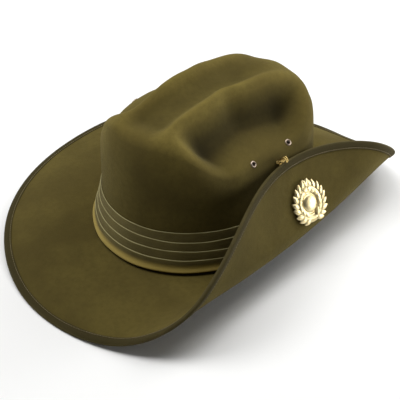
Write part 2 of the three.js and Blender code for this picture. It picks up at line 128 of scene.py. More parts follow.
def curve_weights(share: Array) -> tuple[Array, Array, Array, Array]:
    """Uniform cubic curve weights.

    Args:
        share: Place between the middle two of four table rows.

    Returns:
        The weight of each row.
    """
    rest = 1.0 - share
    return (
        rest**3 / 6.0,
        (3.0 * share**3 - 6.0 * share**2 + 4.0) / 6.0,
        (3.0 * rest**3 - 6.0 * rest**2 + 4.0) / 6.0,
        share**3 / 6.0,
    )


def section_value(column: str, distance: Array) -> Array:
    """Reads the crown's cross section.

    Args:
        column: Name of the column in SECTION.
        distance: Distance out from the middle plane.

    Returns:
        The drop from the crest.
    """
    table = SECTION[column]
    step = table[-1] - table[-2]
    padded = np.array([table[1], *table, table[-1] + step, table[-1] + 2.0 * step])
    place = np.clip(distance / SECTION_STEP, 0.0, len(table) - 1)
    row = np.floor(place).astype(int)
    return sum(weight * padded[row + k] for k, weight in enumerate(curve_weights(place - row)))


def lift_value(column: str, y: Array) -> Array:
    """Reads what is added to the crest on one side.

    Args:
        column: Name of the side in LIFT.
        y: Place along the hat.

    Returns:
        The added height.
    """
    table = LIFT[column]
    padded = np.array([table[0], *table, table[-1], table[-1]])
    place = np.clip((y - LIFT_FROM) / LIFT_STEP, 0.0, len(table) - 1)
    row = np.floor(place).astype(int)
    return sum(weight * padded[row + k] for k, weight in enumerate(curve_weights(place - row)))


def droop_value(angle: Array) -> Array:
    """Reads the brim's droop round the hat.

    Args:
        angle: Angle from the front by the left, in radians.

    Returns:
        The height of the brim's edge before the fold.
    """
    table = np.array(DROOP)
    place = (angle / (2.0 * math.pi)) % 1.0 * len(table)
    row = np.floor(place).astype(int)
    weights = curve_weights(place - row)
    return sum(weight * table[(row + k - 1) % len(table)] for k, weight in enumerate(weights))


def unit(vectors: Array) -> Array:
    """Vectors of length one."""
    return vectors / np.maximum(np.linalg.norm(vectors, axis=-1, keepdims=True), 1e-12)


def placed(points: Array) -> Array:
    """Points over the foot of the crown in millimetres, moved into the frame in metres."""
    return (np.asarray(points, float) + SHIFT) * TO_METRES


# The felt's form


@dataclass(frozen=True)
class HatForm:
    """Middle surface of the felt, in millimetres over the foot of the crown."""

    half_length: float = 102.8
    half_width: float = 86.6
    brim_width: float = 85.2
    thickness: float = 2.2
    corner_radius: float = 3.5
    # Squareness of the shoulder between wall and top.
    edge_power: float = 12.5
    # Height of the crest, its slope and its bow over crest_station.
    crest: tuple[float, float, float] = (130.3, -5.9, -7.8)
    crest_station: float = 70.0
    # Crease: place where it starts, place where it is full, and its share ahead of both.
    crease_front: tuple[float, float, float] = (-94.0, -68.0, 0.15)
    # Places where it starts to fill up and where it is gone.
    crease_back: tuple[float, float] = (28.3, 78.1)
    # Dents: place and lean of their start, then of where they are full.
    dent_front: tuple[float, float, float, float] = (-82.0, 0.0, -50.0, 0.15)
    # Places where they start to fill up and where they are gone, and the lean of both.
    dent_back: tuple[float, float, float] = (44.8, 94.4, -0.5)
    # Distances out that the front and the back leans are measured from.
    dent_out: tuple[float, float] = (33.0, 35.0)
    # How far the dents move out at the back, and the places that it grows between.
    dent_flare: tuple[float, float, float] = (3.1, 25.0, 75.0)
    # Places between which the rear grows fuller, and how much.
    rear_full: tuple[float, float, float] = (35.3, 90.0, 0.65)
    # Inward lean of the wall, but for the back, and the height where it is full.
    wall_lean: tuple[float, float] = (0.04, 45.0)
    # Cosines of the angle from the front that this lean grows between.
    wall_turn: tuple[float, float] = (-1.0, 0.2)
    # Lean of the right and the left side, and the heights that it grows between.
    side_lean: tuple[float, float, float, float] = (0.074, 0.142, 33.0, 66.0)
    side_power: int = 8
    droop_power: float = 2.53
    # Height that the brim settles at, and how softly, in square millimetres.
    rest_height: float = -21.2
    rest_softness: float = 1.0
    # Circles that the relief is measured against, places on each, and the step for measuring a fall.
    relief_radii: tuple[float, ...] = (10.0, 12.0, 26.0)
    relief_places: int = 12
    relief_step: float = 1.5
    # Fall at which the shade starts, the range that it grows over and its strength.
    relief_fall: tuple[float, float, float] = (1.4, 2.0, 3.0)
    # Shares of the way out to the wall that this shade fades between, and the last that is measured.
    relief_fade: tuple[float, float] = (0.8, 0.92)
    relief_edge: float = 0.985
    fold_station: float = 150.0
    # Fold of the turned-up brim: value, slope and bow over fold_station.
    fold_start: tuple[float, float, float] = (84.6, -3.3, -28.4)
    fold_radius: tuple[float, float, float] = (16.9, -1.3, 32.9)
    least_radius: float = 5.0
    fold_angle: tuple[float, float, float] = (115.3, 23.0, -24.2)

    def crown_height(self, x: Array, y: Array) -> Array:
        """Height of the crown top before its wall rounds it off.

        Args:
            x: Place across the hat.
            y: Place along the hat.

        Returns:
            Heights over the foot of the crown.
        """
        out = np.abs(x)
        station = y / self.crest_station
        crest = self.crest[0] + self.crest[1] * station + self.crest[2] * station**2
        crest = crest + lift_value("right", y) * smooth_step(*LIFT_BLEND, -x)
        crest = crest + lift_value("left", y) * smooth_step(*LIFT_BLEND, x)
        start, stop, left = self.crease_front
        front = left + (1.0 - left) * smooth_step(start, stop, y)
        crease = front * (1.0 - smooth_step(*self.crease_back, y))
        ahead, behind = out - self.dent_out[0], out - self.dent_out[1]
        start, start_lean, stop, stop_lean = self.dent_front
        opens = smooth_step(start + start_lean * ahead, stop + stop_lean * ahead, y)
        start, stop, lean = self.dent_back
        closes = smooth_step(start + lean * behind, stop + lean * behind, y)
        dent = opens * (1.0 - closes)
        flare = self.dent_flare[0] * smooth_step(self.dent_flare[1], self.dent_flare[2], y)
        dented = section_value("dent", np.maximum(out - flare, 0.0))
        start, stop, share = self.rear_full
        full = section_value("full", out) * (1.0 - share * smooth_step(start, stop, y))
        return crest + crease * section_value("crease", out) + dent * dented + (1.0 - dent) * full

    def crown_point(self, x: Array, y: Array, share: Array) -> Array:
        """Point of the crown over a place of its flat plan.

        Args:
            x: Place across the plan.
            y: Place along the plan.
            share: Share of the crown's height there.

        Returns:
            Points as rows of three.
        """
        z = share * self.crown_height(x, y)
        angle = np.arctan2(x / self.half_width, -y / self.half_length)
        right, left, start, stop = self.side_lean
        side = np.abs(np.sin(angle)) ** self.side_power * np.where(x > 0.0, left, right)
        inward, full_at = self.wall_lean
        wall = inward * smooth_step(*self.wall_turn, np.cos(angle)) * smooth_step(0.0, full_at, z)
        lean = 1.0 - wall - side * smooth_step(start, stop, z)
        return np.stack([x * lean, y * lean, z], axis=-1)

    def round_off(self, share: Array) -> Array:
        """Superellipse partner of a share, which rounds the shoulder of the crown."""
        return (1.0 - np.minimum(share, 1.0) ** self.edge_power) ** (1.0 / self.edge_power)

    def wall_point(self, angle: Array, share: Array) -> Array:
        """Point of the crown's wall.

        Args:
            angle: Angle from the front.
            share: Share of the crown's height.

        Returns:
            Points as rows of three.
        """
        angle, share = np.broadcast_arrays(angle, share)
        size = self.round_off(share)
        return self.crown_point(
            self.half_width * size * np.sin(angle), -self.half_length * size * np.cos(angle), share
        )

    def top_point(self, x: Array, y: Array) -> Array:
        """Point of the crown's top over a place of its plan."""
        x, y = np.broadcast_arrays(np.asarray(x, float), np.asarray(y, float))
        return self.crown_point(x, y, self.round_off(np.hypot(x / self.half_width, y / self.half_length)))

    def ring_plan(self, angle: Array, ring: Array) -> tuple[Array, Array]:
        """Place in the crown's plan on a ring.

        Args:
            angle: Angle from the front.
            ring: Half width, half length and squareness in the last axis.

        Returns:
            Places across and along the plan.
        """
        across, along, power = ring[..., 0], ring[..., 1], ring[..., 2]
        sine, cosine = np.sin(angle), np.cos(angle)
        x = across * np.sign(sine) * np.abs(sine) ** power
        y = -along * np.sign(cosine) * np.abs(cosine) ** power
        return x, y

    def relief(self, x: Array, y: Array) -> Array:
        """How far the crown's top stands over its surroundings.

        Args:
            x: Place across the plan.
            y: Place along the plan.

        Returns:
            Heights over the mean of some circles: positive on ridges, negative in hollows and on steep falls.
        """
        step = np.sign(x) * self.relief_step
        fall = (self.top_point(x - step, y) - self.top_point(x + step, y))[..., 2] / (2.0 * self.relief_step)
        # Steep falls are lowered further here, and this becomes painted shade on them.
        steep = np.clip(fall - self.relief_fall[0], 0.0, self.relief_fall[1]) * self.relief_fall[2]
        out = np.hypot(x / self.half_width, y / self.half_length)
        steep = steep * (1.0 - smooth_step(*self.relief_fade, out))
        turns = np.arange(self.relief_places) * 2.0 * math.pi / self.relief_places
        circle = np.stack([np.cos(turns), np.sin(turns)], axis=-1)
        around = []
        for across, along in np.concatenate([radius * circle for radius in self.relief_radii]):
            share = np.hypot((x + across) / self.half_width, (y + along) / self.half_length)
            inside = np.minimum(1.0, self.relief_edge / np.maximum(share, 1e-9))
            around.append(self.top_point((x + across) * inside, (y + along) * inside)[..., 2])
        return self.top_point(x, y)[..., 2] - sum(around) / len(around) - steep

    def wall_at_height(self, angle: Array, height: Array) -> Array:
        """Wall point at a stated height, found by halving.

        Args:
            angle: Angle from the front.
            height: Height over the foot of the crown.

        Returns:
            Points as rows of three.
        """
        angle, height = np.broadcast_arrays(np.asarray(angle, float), np.asarray(height, float))
        low, high = np.zeros(angle.shape), np.full(angle.shape, 0.9)
        for _ in range(30):
            middle = (low + high) / 2.0
            below = self.wall_point(angle, middle)[..., 2] < height
            low, high = np.where(below, middle, low), np.where(below, high, middle)
        return self.wall_point(angle, (low + high) / 2.0)

    @staticmethod
    def bend(distance: Array, radius: Array, angle: Array) -> tuple[Array, Array]:
        """A strip that starts flat, turns round an arc and goes on straight.

        Args:
            distance: Distance along the strip from where it starts to turn.
            radius: Radius of the arc.
            angle: Angle that it turns through.

        Returns:
            How far out and how far up the place is.
        """
        turned = np.clip(distance / radius, 0.0, angle)
        rest = np.maximum(distance - radius * angle, 0.0)
        out = np.where(distance < 0.0, distance, radius * np.sin(turned) + rest * np.cos(angle))
        return out, radius * (1.0 - np.cos(turned)) + rest * np.sin(angle)

    def brim_point(self, angle: Array, q: Array) -> Array:
        """Point of the brim.

        Args:
            angle: Angle from the front by the left, in radians.
            q: Share of the brim's width, 0 at the crown and 1 at the edge.

        Returns:
            Points as rows of three.
        """
        angle, q = np.broadcast_arrays(np.asarray(angle, float), np.asarray(q, float))
        x = (self.half_width + q * self.brim_width) * np.sin(angle)
        y = -(self.half_length + q * self.brim_width) * np.cos(angle)
        station = y / self.fold_station
        start, radius, turn = (
            parts[0] + parts[1] * station + parts[2] * station**2
            for parts in (self.fold_start, self.fold_radius, self.fold_angle)
        )
        radius, turn = np.maximum(radius, self.least_radius), np.radians(turn)
        flat = np.minimum(x, start)
        near = q.copy()
        for _ in range(20):
            long = self.half_length + near * self.brim_width
            wide = self.half_width + near * self.brim_width
            miss = (flat / wide) ** 2 + (y / long) ** 2 - 1.0
            rate = -2.0 * self.brim_width * (flat**2 / wide**3 + y**2 / long**3)
            near = np.clip(near - miss / rate, -0.3, 1.2)
        long = self.half_length + near * self.brim_width
        wide = self.half_width + near * self.brim_width
        z = droop_value(np.arctan2(flat / wide, -y / long)) * np.maximum(near, 0.0) ** self.droop_power
        foot = self.half_width * np.sqrt(np.maximum(1.0 - (y / self.half_length) ** 2, 0.0))
        inside = np.maximum(foot - start, 0.0)
        out, up = self.bend(x - start, radius, turn)
        base_out, base_up = self.bend(inside, radius, turn)
        folded = x > start
        x = np.where(folded, start + out + inside - base_out, x)
        z = np.where(folded, z + up - base_up, z)
        over = z - self.rest_height
        z = self.rest_height + 0.5 * (over + np.sqrt(over * over + self.rest_softness))
        return np.stack([x, y, z], axis=-1)

    def brim_frame(self, angle: Array, q: Array) -> tuple[Array, Array, Array]:
        """Place and directions on the brim.

        Args:
            angle: Angle from the front by the left.
            q: Share of the brim's width.

        Returns:
            The point, the outward direction along the felt and the normal of its upper face.
        """
        step = 0.004
        point = self.brim_point(angle, q)
        out = unit(self.brim_point(angle, q + step) - self.brim_point(angle, q - step))
        round_ = self.brim_point(angle + step, q) - self.brim_point(angle - step, q)
        return point, out, unit(np.cross(out, round_))

    def corner_point(self, angle: Array, share: Array) -> Array:
        """Point of the rounded corner between brim and wall.

        Args:
            angle: Angle from the front.
            share: 0 on the brim and 1 on the wall.

        Returns:
            Points as rows of three.
        """
        angle, share = np.broadcast_arrays(angle, share)
        turn = share * math.pi / 2.0
        foot = self.wall_point(angle, np.zeros(angle.shape))
        outer = self.brim_point(angle, np.full(angle.shape, self.corner_radius / self.brim_width))
        wall = self.wall_at_height(angle, np.full(angle.shape, self.corner_radius))
        rise = (1.0 - np.cos(turn))[..., None]
        flat = outer + (foot - outer) * np.sin(turn)[..., None]
        return flat + (wall - foot) * rise

    def side_place(self, side: Side, y: float, z: float) -> tuple[Array, Array]:
        """Crown point at a stated place along and up one side.

        Args:
            side: Side of the hat.
            y: Place along the hat.
            z: Height over the foot of the crown.

        Returns:
            The point and the outward normal there.
        """

        def plan(x: float) -> float:
            """Place along the plan whose point leans in to y."""
            return y / (float(self.top_point(x, y)[1]) / y)

        across = self.half_width * math.sqrt(1.0 - (y / self.half_length) ** 2)
        low, high = 0.5, 0.99
        for _ in range(40):
            middle = (low + high) / 2.0
            x = side.value * middle * across
            if float(self.top_point(x, plan(x))[2]) > z:
                low = middle
            else:
                high = middle
        x = side.value * low * across
        along = plan(x)
        across_run = self.top_point(x + 0.5, along) - self.top_point(x - 0.5, along)
        along_run = self.top_point(x, along + 0.5) - self.top_point(x, along - 0.5)
        return self.top_point(x, along), unit(np.cross(across_run, along_run))


# Meshes


def signed_volume(points: Array, faces: Faces) -> float:
    """Volume inside a closed mesh.

    Args:
        points: Its points.
        faces: Corner numbers of each face.

    Returns:
        The volume, below zero where the faces point inwards.
    """
    total = 0.0
    sizes: dict[int, list[Sequence[int]]] = {}
    for face in faces:
        sizes.setdefault(len(face), []).append(face)
    for count, group in sizes.items():
        corners = points[np.array(group)]
        for k in range(1, count - 1):
            cross = np.cross(corners[:, k], corners[:, k + 1])
            total += float(np.einsum("ij,ij->", corners[:, 0], cross))
    return total / 6.0


def build_object(name: str, points: Array, faces: Faces, corners: Optional[Array] = None) -> bpy.types.Object:
    """Makes a smooth-shaded closed mesh object whose faces point outwards.

    Args:
        name: Name of the object.
        points: Points in the frame, in metres.
        faces: Corner numbers of each face.
        corners: Pattern coordinates of each face's corners, in face order.

    Returns:
        The object, linked into the scene.
    """
    if signed_volume(points, faces) < 0.0:
        if corners is not None:
            starts = np.cumsum([0] + [len(face) for face in faces])
            corners = np.concatenate([corners[a:b][::-1] for a, b in zip(starts[:-1], starts[1:])])
        faces = [tuple(reversed(face)) for face in faces]
    mesh = bpy.data.meshes.new(name)
    mesh.from_pydata(points.tolist(), [], faces)
    if corners is not None:
        layer = mesh.uv_layers.new(name="along_and_across")
        layer.data.foreach_set("uv", np.asarray(corners, np.float32).ravel())
    mesh.shade_smooth()
    mesh.validate()
    made = bpy.data.objects.new(name, mesh)
    bpy.context.scene.collection.objects.link(made)
    return made


def loop_sweep(name: str, rings: Array, run: Array, rise: Array) -> bpy.types.Object:
    """Skins rings of points into one closed loop.

    Args:
        name: Name of the object.
        rings: Points as (ring, place on the ring, xyz), in metres.
        run: Pattern coordinate of each ring and of the first one again.
        rise: Pattern coordinate of each place and of the first one again.

    Returns:
        The object.
    """
    count, size = rings.shape[:2]
    faces, corners = [], []
    for i in range(count):
        k = (i + 1) % count
        for j in range(size):
            m = (j + 1) % size
            faces.append((i * size + j, k * size + j, k * size + m, i * size + m))
            corners += [(run[a], rise[b]) for a, b in ((i, j), (i + 1, j), (i + 1, j + 1), (i, j + 1))]
    return build_object(name, rings.reshape(-1, 3), faces, np.array(corners))


def lengths_round(rings: Array) -> Array:
    """Mean length along a loop up to each of its rings, and up to the first one again.

    Args:
        rings: Points as (ring, place on the ring, xyz).

    Returns:
        The lengths.
    """
    steps = np.linalg.norm(np.roll(rings, -1, axis=0) - rings, axis=-1).mean(axis=1)
    return np.concatenate([[0], np.cumsum(steps)])


def joined_shapes(parts: Sequence[Shape]) -> Shape:
    """Puts several closed shapes into one.

    Args:
        parts: Points and faces of each.

    Returns:
        All points, and the faces renumbered to them.
    """
    points, faces, start = [], [], 0
    for these, theirs in parts:
        points.append(these)
        faces += [tuple(start + n for n in face) for face in theirs]
        start += len(these)
    return np.concatenate(points), faces


def wire_shape(path: Array, radius: float, sides: int = 14) -> Shape:
    """Round wire with rounded ends.

    Args:
        path: Points that the wire follows, in millimetres.
        radius: Radius of the wire.
        sides: Corners round it.

    Returns:
        Its points and faces.
    """
    runs = unit(np.gradient(path, axis=0))
    normal = unit(np.cross(runs[0], [0.31, 0.22, 0.92]))
    rings = []
    turn = np.arange(sides) * 2.0 * math.pi / sides

    def ring(middle: Array, size: float, run: Array, across: Array) -> Array:
        """Circle of a size round a place of the wire, square to its run."""
        other = np.cross(run, across)
        return middle + size * (np.cos(turn)[:, None] * across + np.sin(turn)[:, None] * other)

    caps = [(-math.cos(a), math.sin(a)) for a in np.radians([25, 50, 72])]
    for i, (middle, run) in enumerate(zip(path, runs)):
        normal = unit(normal - run * float(normal @ run))
        if i == 0:
            rings += [ring(middle + run * radius * back, radius * size, run, normal) for back, size in caps]
        rings.append(ring(middle, radius, run, normal))
        if i == len(path) - 1:
            ends = reversed(caps)
            rings += [ring(middle - run * radius * back, radius * size, run, normal) for back, size in ends]
    points = np.concatenate(rings)
    faces = [
        (i * sides + j, i * sides + (j + 1) % sides, (i + 1) * sides + (j + 1) % sides, (i + 1) * sides + j)
        for i in range(len(rings) - 1)
        for j in range(sides)
    ]
    last = (len(rings) - 1) * sides
    faces += [tuple(reversed(range(sides))), tuple(range(last, last + sides))]
    return points, faces


def smooth_path(points: Sequence[Sequence[float]], steps: int = 8) -> Array:
    """Smooth curve through points.

    Args:
        points: Points that it passes through.
        steps: Steps between two of them.

    Returns:
        Points close together along the curve.
    """
    fixed = np.array(points, float)
    padded = np.vstack([2 * fixed[0] - fixed[1], fixed, 2 * fixed[-1] - fixed[-2]])
    share = np.arange(steps)[:, None] / steps
    pieces = []
    for a, b, c, d in zip(padded[:-3], padded[1:-2], padded[2:-1], padded[3:]):
        square, cube = 2 * a - 5 * b + 4 * c - d, 3 * b - a - 3 * c + d
        pieces.append(0.5 * (2 * b + (c - a) * share + square * share**2 + cube * share**3))
    return np.vstack([*pieces, fixed[-1:]])


def turned_shape(profile: Sequence[tuple[float, float]], count: int) -> Shape:
    """Turns a closed profile about Z.

    Args:
        profile: Radius and height of each of its points.
        count: Places round the axis.

    Returns:
        Its points and faces.
    """
    ring = np.array(profile, float)
    turn = np.arange(count)[:, None] * 2.0 * math.pi / count
    radius, height = ring[None, :, 0], ring[None, :, 1] + 0.0 * turn
    points = np.stack([radius * np.cos(turn), radius * np.sin(turn), height], axis=-1).reshape(-1, 3)
    size = len(ring)
    faces = []
    for i in range(count):
        here, there = i * size, (i + 1) % count * size
        for j in range(size):
            k = (j + 1) % size
            faces.append((here + j, there + j, there + k, here + k))
    return points, faces


def plain_mesh(made: bpy.types.Object) -> bpy.types.Object:
    """Turns what an object's modifiers make into its own mesh and removes them.

    Args:
        made: The object.

    Returns:
        The same object.
    """
    graph = bpy.context.evaluated_depsgraph_get()
    mesh = bpy.data.meshes.new_from_object(made.evaluated_get(graph))
    old, made.data = made.data, mesh
    made.modifiers.clear()
    mesh.name = made.name
    bpy.data.meshes.remove(old)
    return made


def dress(
    made: bpy.types.Object, material: bpy.types.Material, nodes: Sequence[str]
) -> bpy.types.Object:
    """Gives a finished piece its material, its body and the nodes that it stands for.

    Args:
        made: The piece, in place.
        material: Its finish.
        nodes: The frame's nodes that it replaces.

    Returns:
        The piece.
    """
    made.data.materials.clear()
    made.data.materials.append(material)
    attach(made, BODY)
    if nodes:
        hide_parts(*nodes)
    log.info("%s: %d faces", made.name, len(made.data.polygons))
    return made


# Finishes


class NodeSheet:
    """A material's node tree with short calls for what the finishes need."""

    def __init__(self, name: str) -> None:
        """Starts a material with a Principled shader and an output.

        Args:
            name: Name of the material.
        """
        self.material = bpy.data.materials.new(name)
        self.material.use_nodes = True
        self.tree = self.material.node_tree
        self.tree.nodes.clear()
        output = self.tree.nodes.new("ShaderNodeOutputMaterial")
        self.shader = self.tree.nodes.new("ShaderNodeBsdfPrincipled")
        self.tree.links.new(self.shader.outputs["BSDF"], output.inputs["Surface"])
        self.place = self.tree.nodes.new("ShaderNodeTexCoord").outputs["Object"]

    def put(self, socket: Socket, value: object) -> None:
        """Links or sets a socket.

        Args:
            socket: Input to fill.
            value: Another node's output, or a plain value.
        """
        if isinstance(value, Socket):
            self.tree.links.new(value, socket)
        else:
            socket.default_value = value

    def shade(self, **values: object) -> None:
        """Fills the shader's inputs.

        Args:
            **values: A value or another node's output for each, named with underscores for spaces.
        """
        for name, value in values.items():
            self.put(self.shader.inputs[name.replace("_", " ").title().replace("Ior", "IOR")], value)

    def pattern(self, name: str = "along_and_across") -> Socket:
        """The piece's own pattern coordinates.

        Args:
            name: Name of the layer that holds them.

        Returns:
            The coordinates.
        """
        node = self.tree.nodes.new("ShaderNodeUVMap")
        node.uv_map = name
        return node.outputs["UV"]

    def own_value(self, name: str) -> Socket:
        """A number stored at each vertex of the piece.

        Args:
            name: Name of the attribute.

        Returns:
            The number.
        """
        node = self.tree.nodes.new("ShaderNodeAttribute")
        node.attribute_name = name
        return node.outputs["Fac"]

    def stretched(self, vector: Socket, scale: tuple[float, float, float]) -> Socket:
        """Coordinates scaled apart in each direction.

        Args:
            vector: The coordinates.
            scale: Scale along each axis.

        Returns:
            The scaled coordinates.
        """
        node = self.tree.nodes.new("ShaderNodeMapping")
        self.put(node.inputs["Vector"], vector)
        node.inputs["Scale"].default_value = scale
        return node.outputs["Vector"]

    def noise(
        self, scale: float, detail: float = 2.0, rough: float = 0.5, vector: Optional[Socket] = None
    ) -> Socket:
        """Smooth noise.

        Args:
            scale: Features in each metre or pattern unit.
            detail: Finer layers in it.
            rough: Strength of the finer layers.
            vector: Coordinates, the object's own if left out.

        Returns:
            The noise from 0 to 1.
        """
        node = self.tree.nodes.new("ShaderNodeTexNoise")
        self.put(node.inputs["Vector"], vector or self.place)
        node.inputs["Scale"].default_value = scale
        node.inputs["Detail"].default_value = detail
        node.inputs["Roughness"].default_value = rough
        return node.outputs["Fac"]

    def math(self, operation: str, first: object, second: object = 0.0) -> Socket:
        """One sum, product or other operation on two values.

        Args:
            operation: Blender's name for it.
            first: First value.
            second: Second value, where it takes one.

        Returns:
            The result.
        """
        node = self.tree.nodes.new("ShaderNodeMath")
        node.operation = operation
        self.put(node.inputs[0], first)
        self.put(node.inputs[1], second)
        return node.outputs["Value"]

    def between(
        self, value: object, low: float, high: float, to_low: float = 0.0, to_high: float = 1.0
    ) -> Socket:
        """Maps a value smoothly from one range to another.

        Args:
            value: The value.
            low: Start of its range.
            high: End of its range.
            to_low: What the start becomes.
            to_high: What the end becomes.

        Returns:
            The mapped value.
        """
        node = self.tree.nodes.new("ShaderNodeMapRange")
        node.interpolation_type = "SMOOTHSTEP"
        for k, item in enumerate((value, low, high, to_low, to_high)):
            self.put(node.inputs[k], item)
        return node.outputs["Result"]

    def blend(self, share: object, first: object, second: object, kind: str = "MIX") -> Socket:
        """Mixes two colours.

        Args:
            share: Share of the second.
            first: Colour at share 0.
            second: Colour at share 1.
            kind: Blender's name for the way that they mix.

        Returns:
            The mixed colour.
        """
        node = self.tree.nodes.new("ShaderNodeMix")
        node.data_type = "RGBA"
        node.blend_type = kind
        self.put(node.inputs["Factor"], share)
        self.put([s for s in node.inputs if s.name == "A" and s.type == "RGBA"][0], first)
        self.put([s for s in node.inputs if s.name == "B" and s.type == "RGBA"][0], second)
        return [s for s in node.outputs if s.type == "RGBA"][0]

    def bump(self, height: Socket, depth: float, before: Optional[Socket] = None) -> Socket:
        """Relief of a stated depth.

        Args:
            height: Height from 0 to 1.
            depth: Depth of the relief in metres.
            before: Relief that this one lies on.

        Returns:
            The normal.
        """
        node = self.tree.nodes.new("ShaderNodeBump")
        node.inputs["Strength"].default_value = 1.0
        node.inputs["Distance"].default_value = depth
        self.put(node.inputs["Height"], height)
        if before is not None:
            self.put(node.inputs["Normal"], before)
        return node.outputs["Normal"]


def rgb(red: float, green: float, blue: float) -> tuple[float, float, float, float]:
    """An opaque colour from linear shares."""
    return (red, green, blue, 1.0)


def toned(colour: Colour, share: float) -> tuple[float, float, float, float]:
    """An opaque colour, darker or lighter by a share."""
    return rgb(*(share * part for part in colour))


@dataclass(frozen=True)
class FeltFinish:
    """Matt fur felt: cloudy olive with a short soft nap."""

    name: str = "olive_fur_felt"
    deep: Colour = (0.063, 0.047, 0.0112)
    clear: Colour = (0.094, 0.072, 0.0172)
    nap_scale: float = 1500.0
    nap_depth: float = 0.00022
    sheen: float = 0.18
    sheen_tint: Colour = (0.52, 0.44, 0.16)

    def material(self) -> bpy.types.Material:
        """Builds the felt's material.

        Returns:
            The material.
        """
        sheet = NodeSheet(self.name)
        cloud = sheet.noise(16.0, 3.0, 0.55)
        fleck = sheet.noise(240.0, 3.0, 0.6)
        hair = sheet.noise(self.nap_scale, 2.0, 0.7)
        base = sheet.blend(sheet.between(cloud, 0.3, 0.7), rgb(*self.deep), rgb(*self.clear))
        base = sheet.blend(sheet.between(fleck, 0.35, 0.75, 0.0, 0.35), base, toned(self.deep, 0.78))
        base = sheet.blend(sheet.between(hair, 0.5, 0.85, 0.0, 0.28), base, toned(self.clear, 1.5))
        # Multiplies in the "rubbed" attribute: painted shade in hollows and on steep falls, and ridges paler
        # partly from wear and partly as painted highlight.
        base = sheet.blend(1.0, base, sheet.own_value("rubbed"), "MULTIPLY")
        soft = sheet.bump(fleck, 0.00018)
        sheet.shade(
            base_color=base, roughness=0.96, specular_ior_level=0.12, sheen_weight=self.sheen,
            sheen_roughness=0.45, sheen_tint=rgb(*self.sheen_tint),
            normal=sheet.bump(hair, self.nap_depth, soft),
        )
        return sheet.material


@dataclass(frozen=True)
class BandFinish:
    """Light olive cotton in a fine twill, with a painted highlight along each fold's edge and a golden
    painted highlight along the flared hem.

    Across the band, its pattern runs through one whole number for each fold, from foot to edge.
    """

    name: str = "olive_cotton_twill"
    dark: Colour = (0.098, 0.077, 0.022)
    light: Colour = (0.165, 0.133, 0.040)
    # Colour of the painted highlight along each fold's edge.
    edge: Colour = (0.34, 0.30, 0.14)
    # Golden painted highlight along the flared hem.
    hem: Colour = (0.37, 0.275, 0.068)
    pitch: float = 0.00055
    fold_height: float = 0.0085

    def material(self) -> bpy.types.Material:
        """Builds the band's material.

        Returns:
            The material.
        """
        sheet = NodeSheet(self.name)
        split = sheet.tree.nodes.new("ShaderNodeSeparateXYZ")
        sheet.put(split.inputs["Vector"], sheet.pattern())
        turn = 2.0 * math.pi / self.pitch
        along, fold = split.outputs["X"], split.outputs["Y"]
        across = sheet.math("MULTIPLY", fold, self.fold_height)
        warp = sheet.math("SINE", sheet.math("MULTIPLY", sheet.math("ADD", along, across), turn))
        weft = sheet.math("SINE", sheet.math("MULTIPLY", across, turn * 1.3))
        weave = sheet.math("ADD", sheet.math("MULTIPLY", warp, 0.32), sheet.math("MULTIPLY", weft, 0.18))
        weave = sheet.math("ADD", weave, 0.5)
        cloud = sheet.noise(30.0, 3.0, 0.6)
        slub = sheet.noise(60.0, 2.0, 0.6, sheet.stretched(sheet.pattern(), (1.0, 0.12, 1.0)))
        highlight_patches = sheet.noise(90.0, 2.0, 0.6)
        base = sheet.blend(sheet.between(cloud, 0.3, 0.7, 0.2, 0.8), rgb(*self.dark), rgb(*self.light))
        base = sheet.blend(sheet.between(slub, 0.4, 0.7, 0.0, 0.3), base, rgb(*self.light))
        base = sheet.blend(sheet.between(weave, 0.1, 0.6, 0.38, 0.0), base, toned(self.dark, 0.5))
        # Painted highlight: paler colour along the top edge of each fold, uneven in patches.
        edge = sheet.between(sheet.math("FRACT", fold), 0.88, 0.95)
        pale = sheet.math("MULTIPLY", edge, sheet.between(highlight_patches, 0.3, 0.6, 0.7, 1.0))
        base = sheet.blend(pale, base, rgb(*self.edge))
        # Golden painted highlight along the flared hem.
        base = sheet.blend(sheet.between(fold, 0.7, 0.25), base, rgb(*self.hem))
        sheet.shade(
            base_color=base, roughness=0.86, specular_ior_level=0.25, sheen_weight=0.1, sheen_roughness=0.4,
            sheen_tint=rgb(0.75, 0.65, 0.36), normal=sheet.bump(weave, 0.00012, sheet.bump(slub, 0.0002)),
        )
        return sheet.material


@dataclass(frozen=True)
class BraidFinish:
    """Dark ribbed braid, rubbed paler along the very edge."""

    name: str = "dark_ribbed_braid"
    dark: Colour = (0.040, 0.031, 0.0085)
    rubbed: Colour = (0.078, 0.062, 0.021)
    rib: float = 0.00075

    def material(self) -> bpy.types.Material:
        """Builds the braid's material. Across it, the pattern runs from 0 to 1, with the edge at one half.

        Returns:
            The material.
        """
        sheet = NodeSheet(self.name)
        split = sheet.tree.nodes.new("ShaderNodeSeparateXYZ")
        sheet.put(split.inputs["Vector"], sheet.pattern())
        ribs = sheet.math("SINE", sheet.math("MULTIPLY", split.outputs["X"], 2.0 * math.pi / self.rib))
        ribs = sheet.math("ADD", sheet.math("MULTIPLY", ribs, 0.5), 0.5)
        cloud = sheet.noise(70.0, 3.0, 0.6)
        away = sheet.math("ABSOLUTE", sheet.math("SUBTRACT", split.outputs["Y"], 0.5))
        edge = sheet.between(away, 0.16, 0.03)
        wear = sheet.math("MULTIPLY", edge, sheet.between(cloud, 0.3, 0.65, 0.45, 1.0))
        base = sheet.blend(wear, rgb(*self.dark), rgb(*self.rubbed))
        base = sheet.blend(sheet.between(ribs, 0.0, 0.5, 0.5, 0.0), base, toned(self.dark, 0.45))
        sheet.shade(
            base_color=base, roughness=0.82, specular_ior_level=0.12, sheen_weight=0.12, sheen_roughness=0.4,
            sheen_tint=rgb(0.6, 0.52, 0.26), normal=sheet.bump(ribs, 0.0001),
        )
        return sheet.material


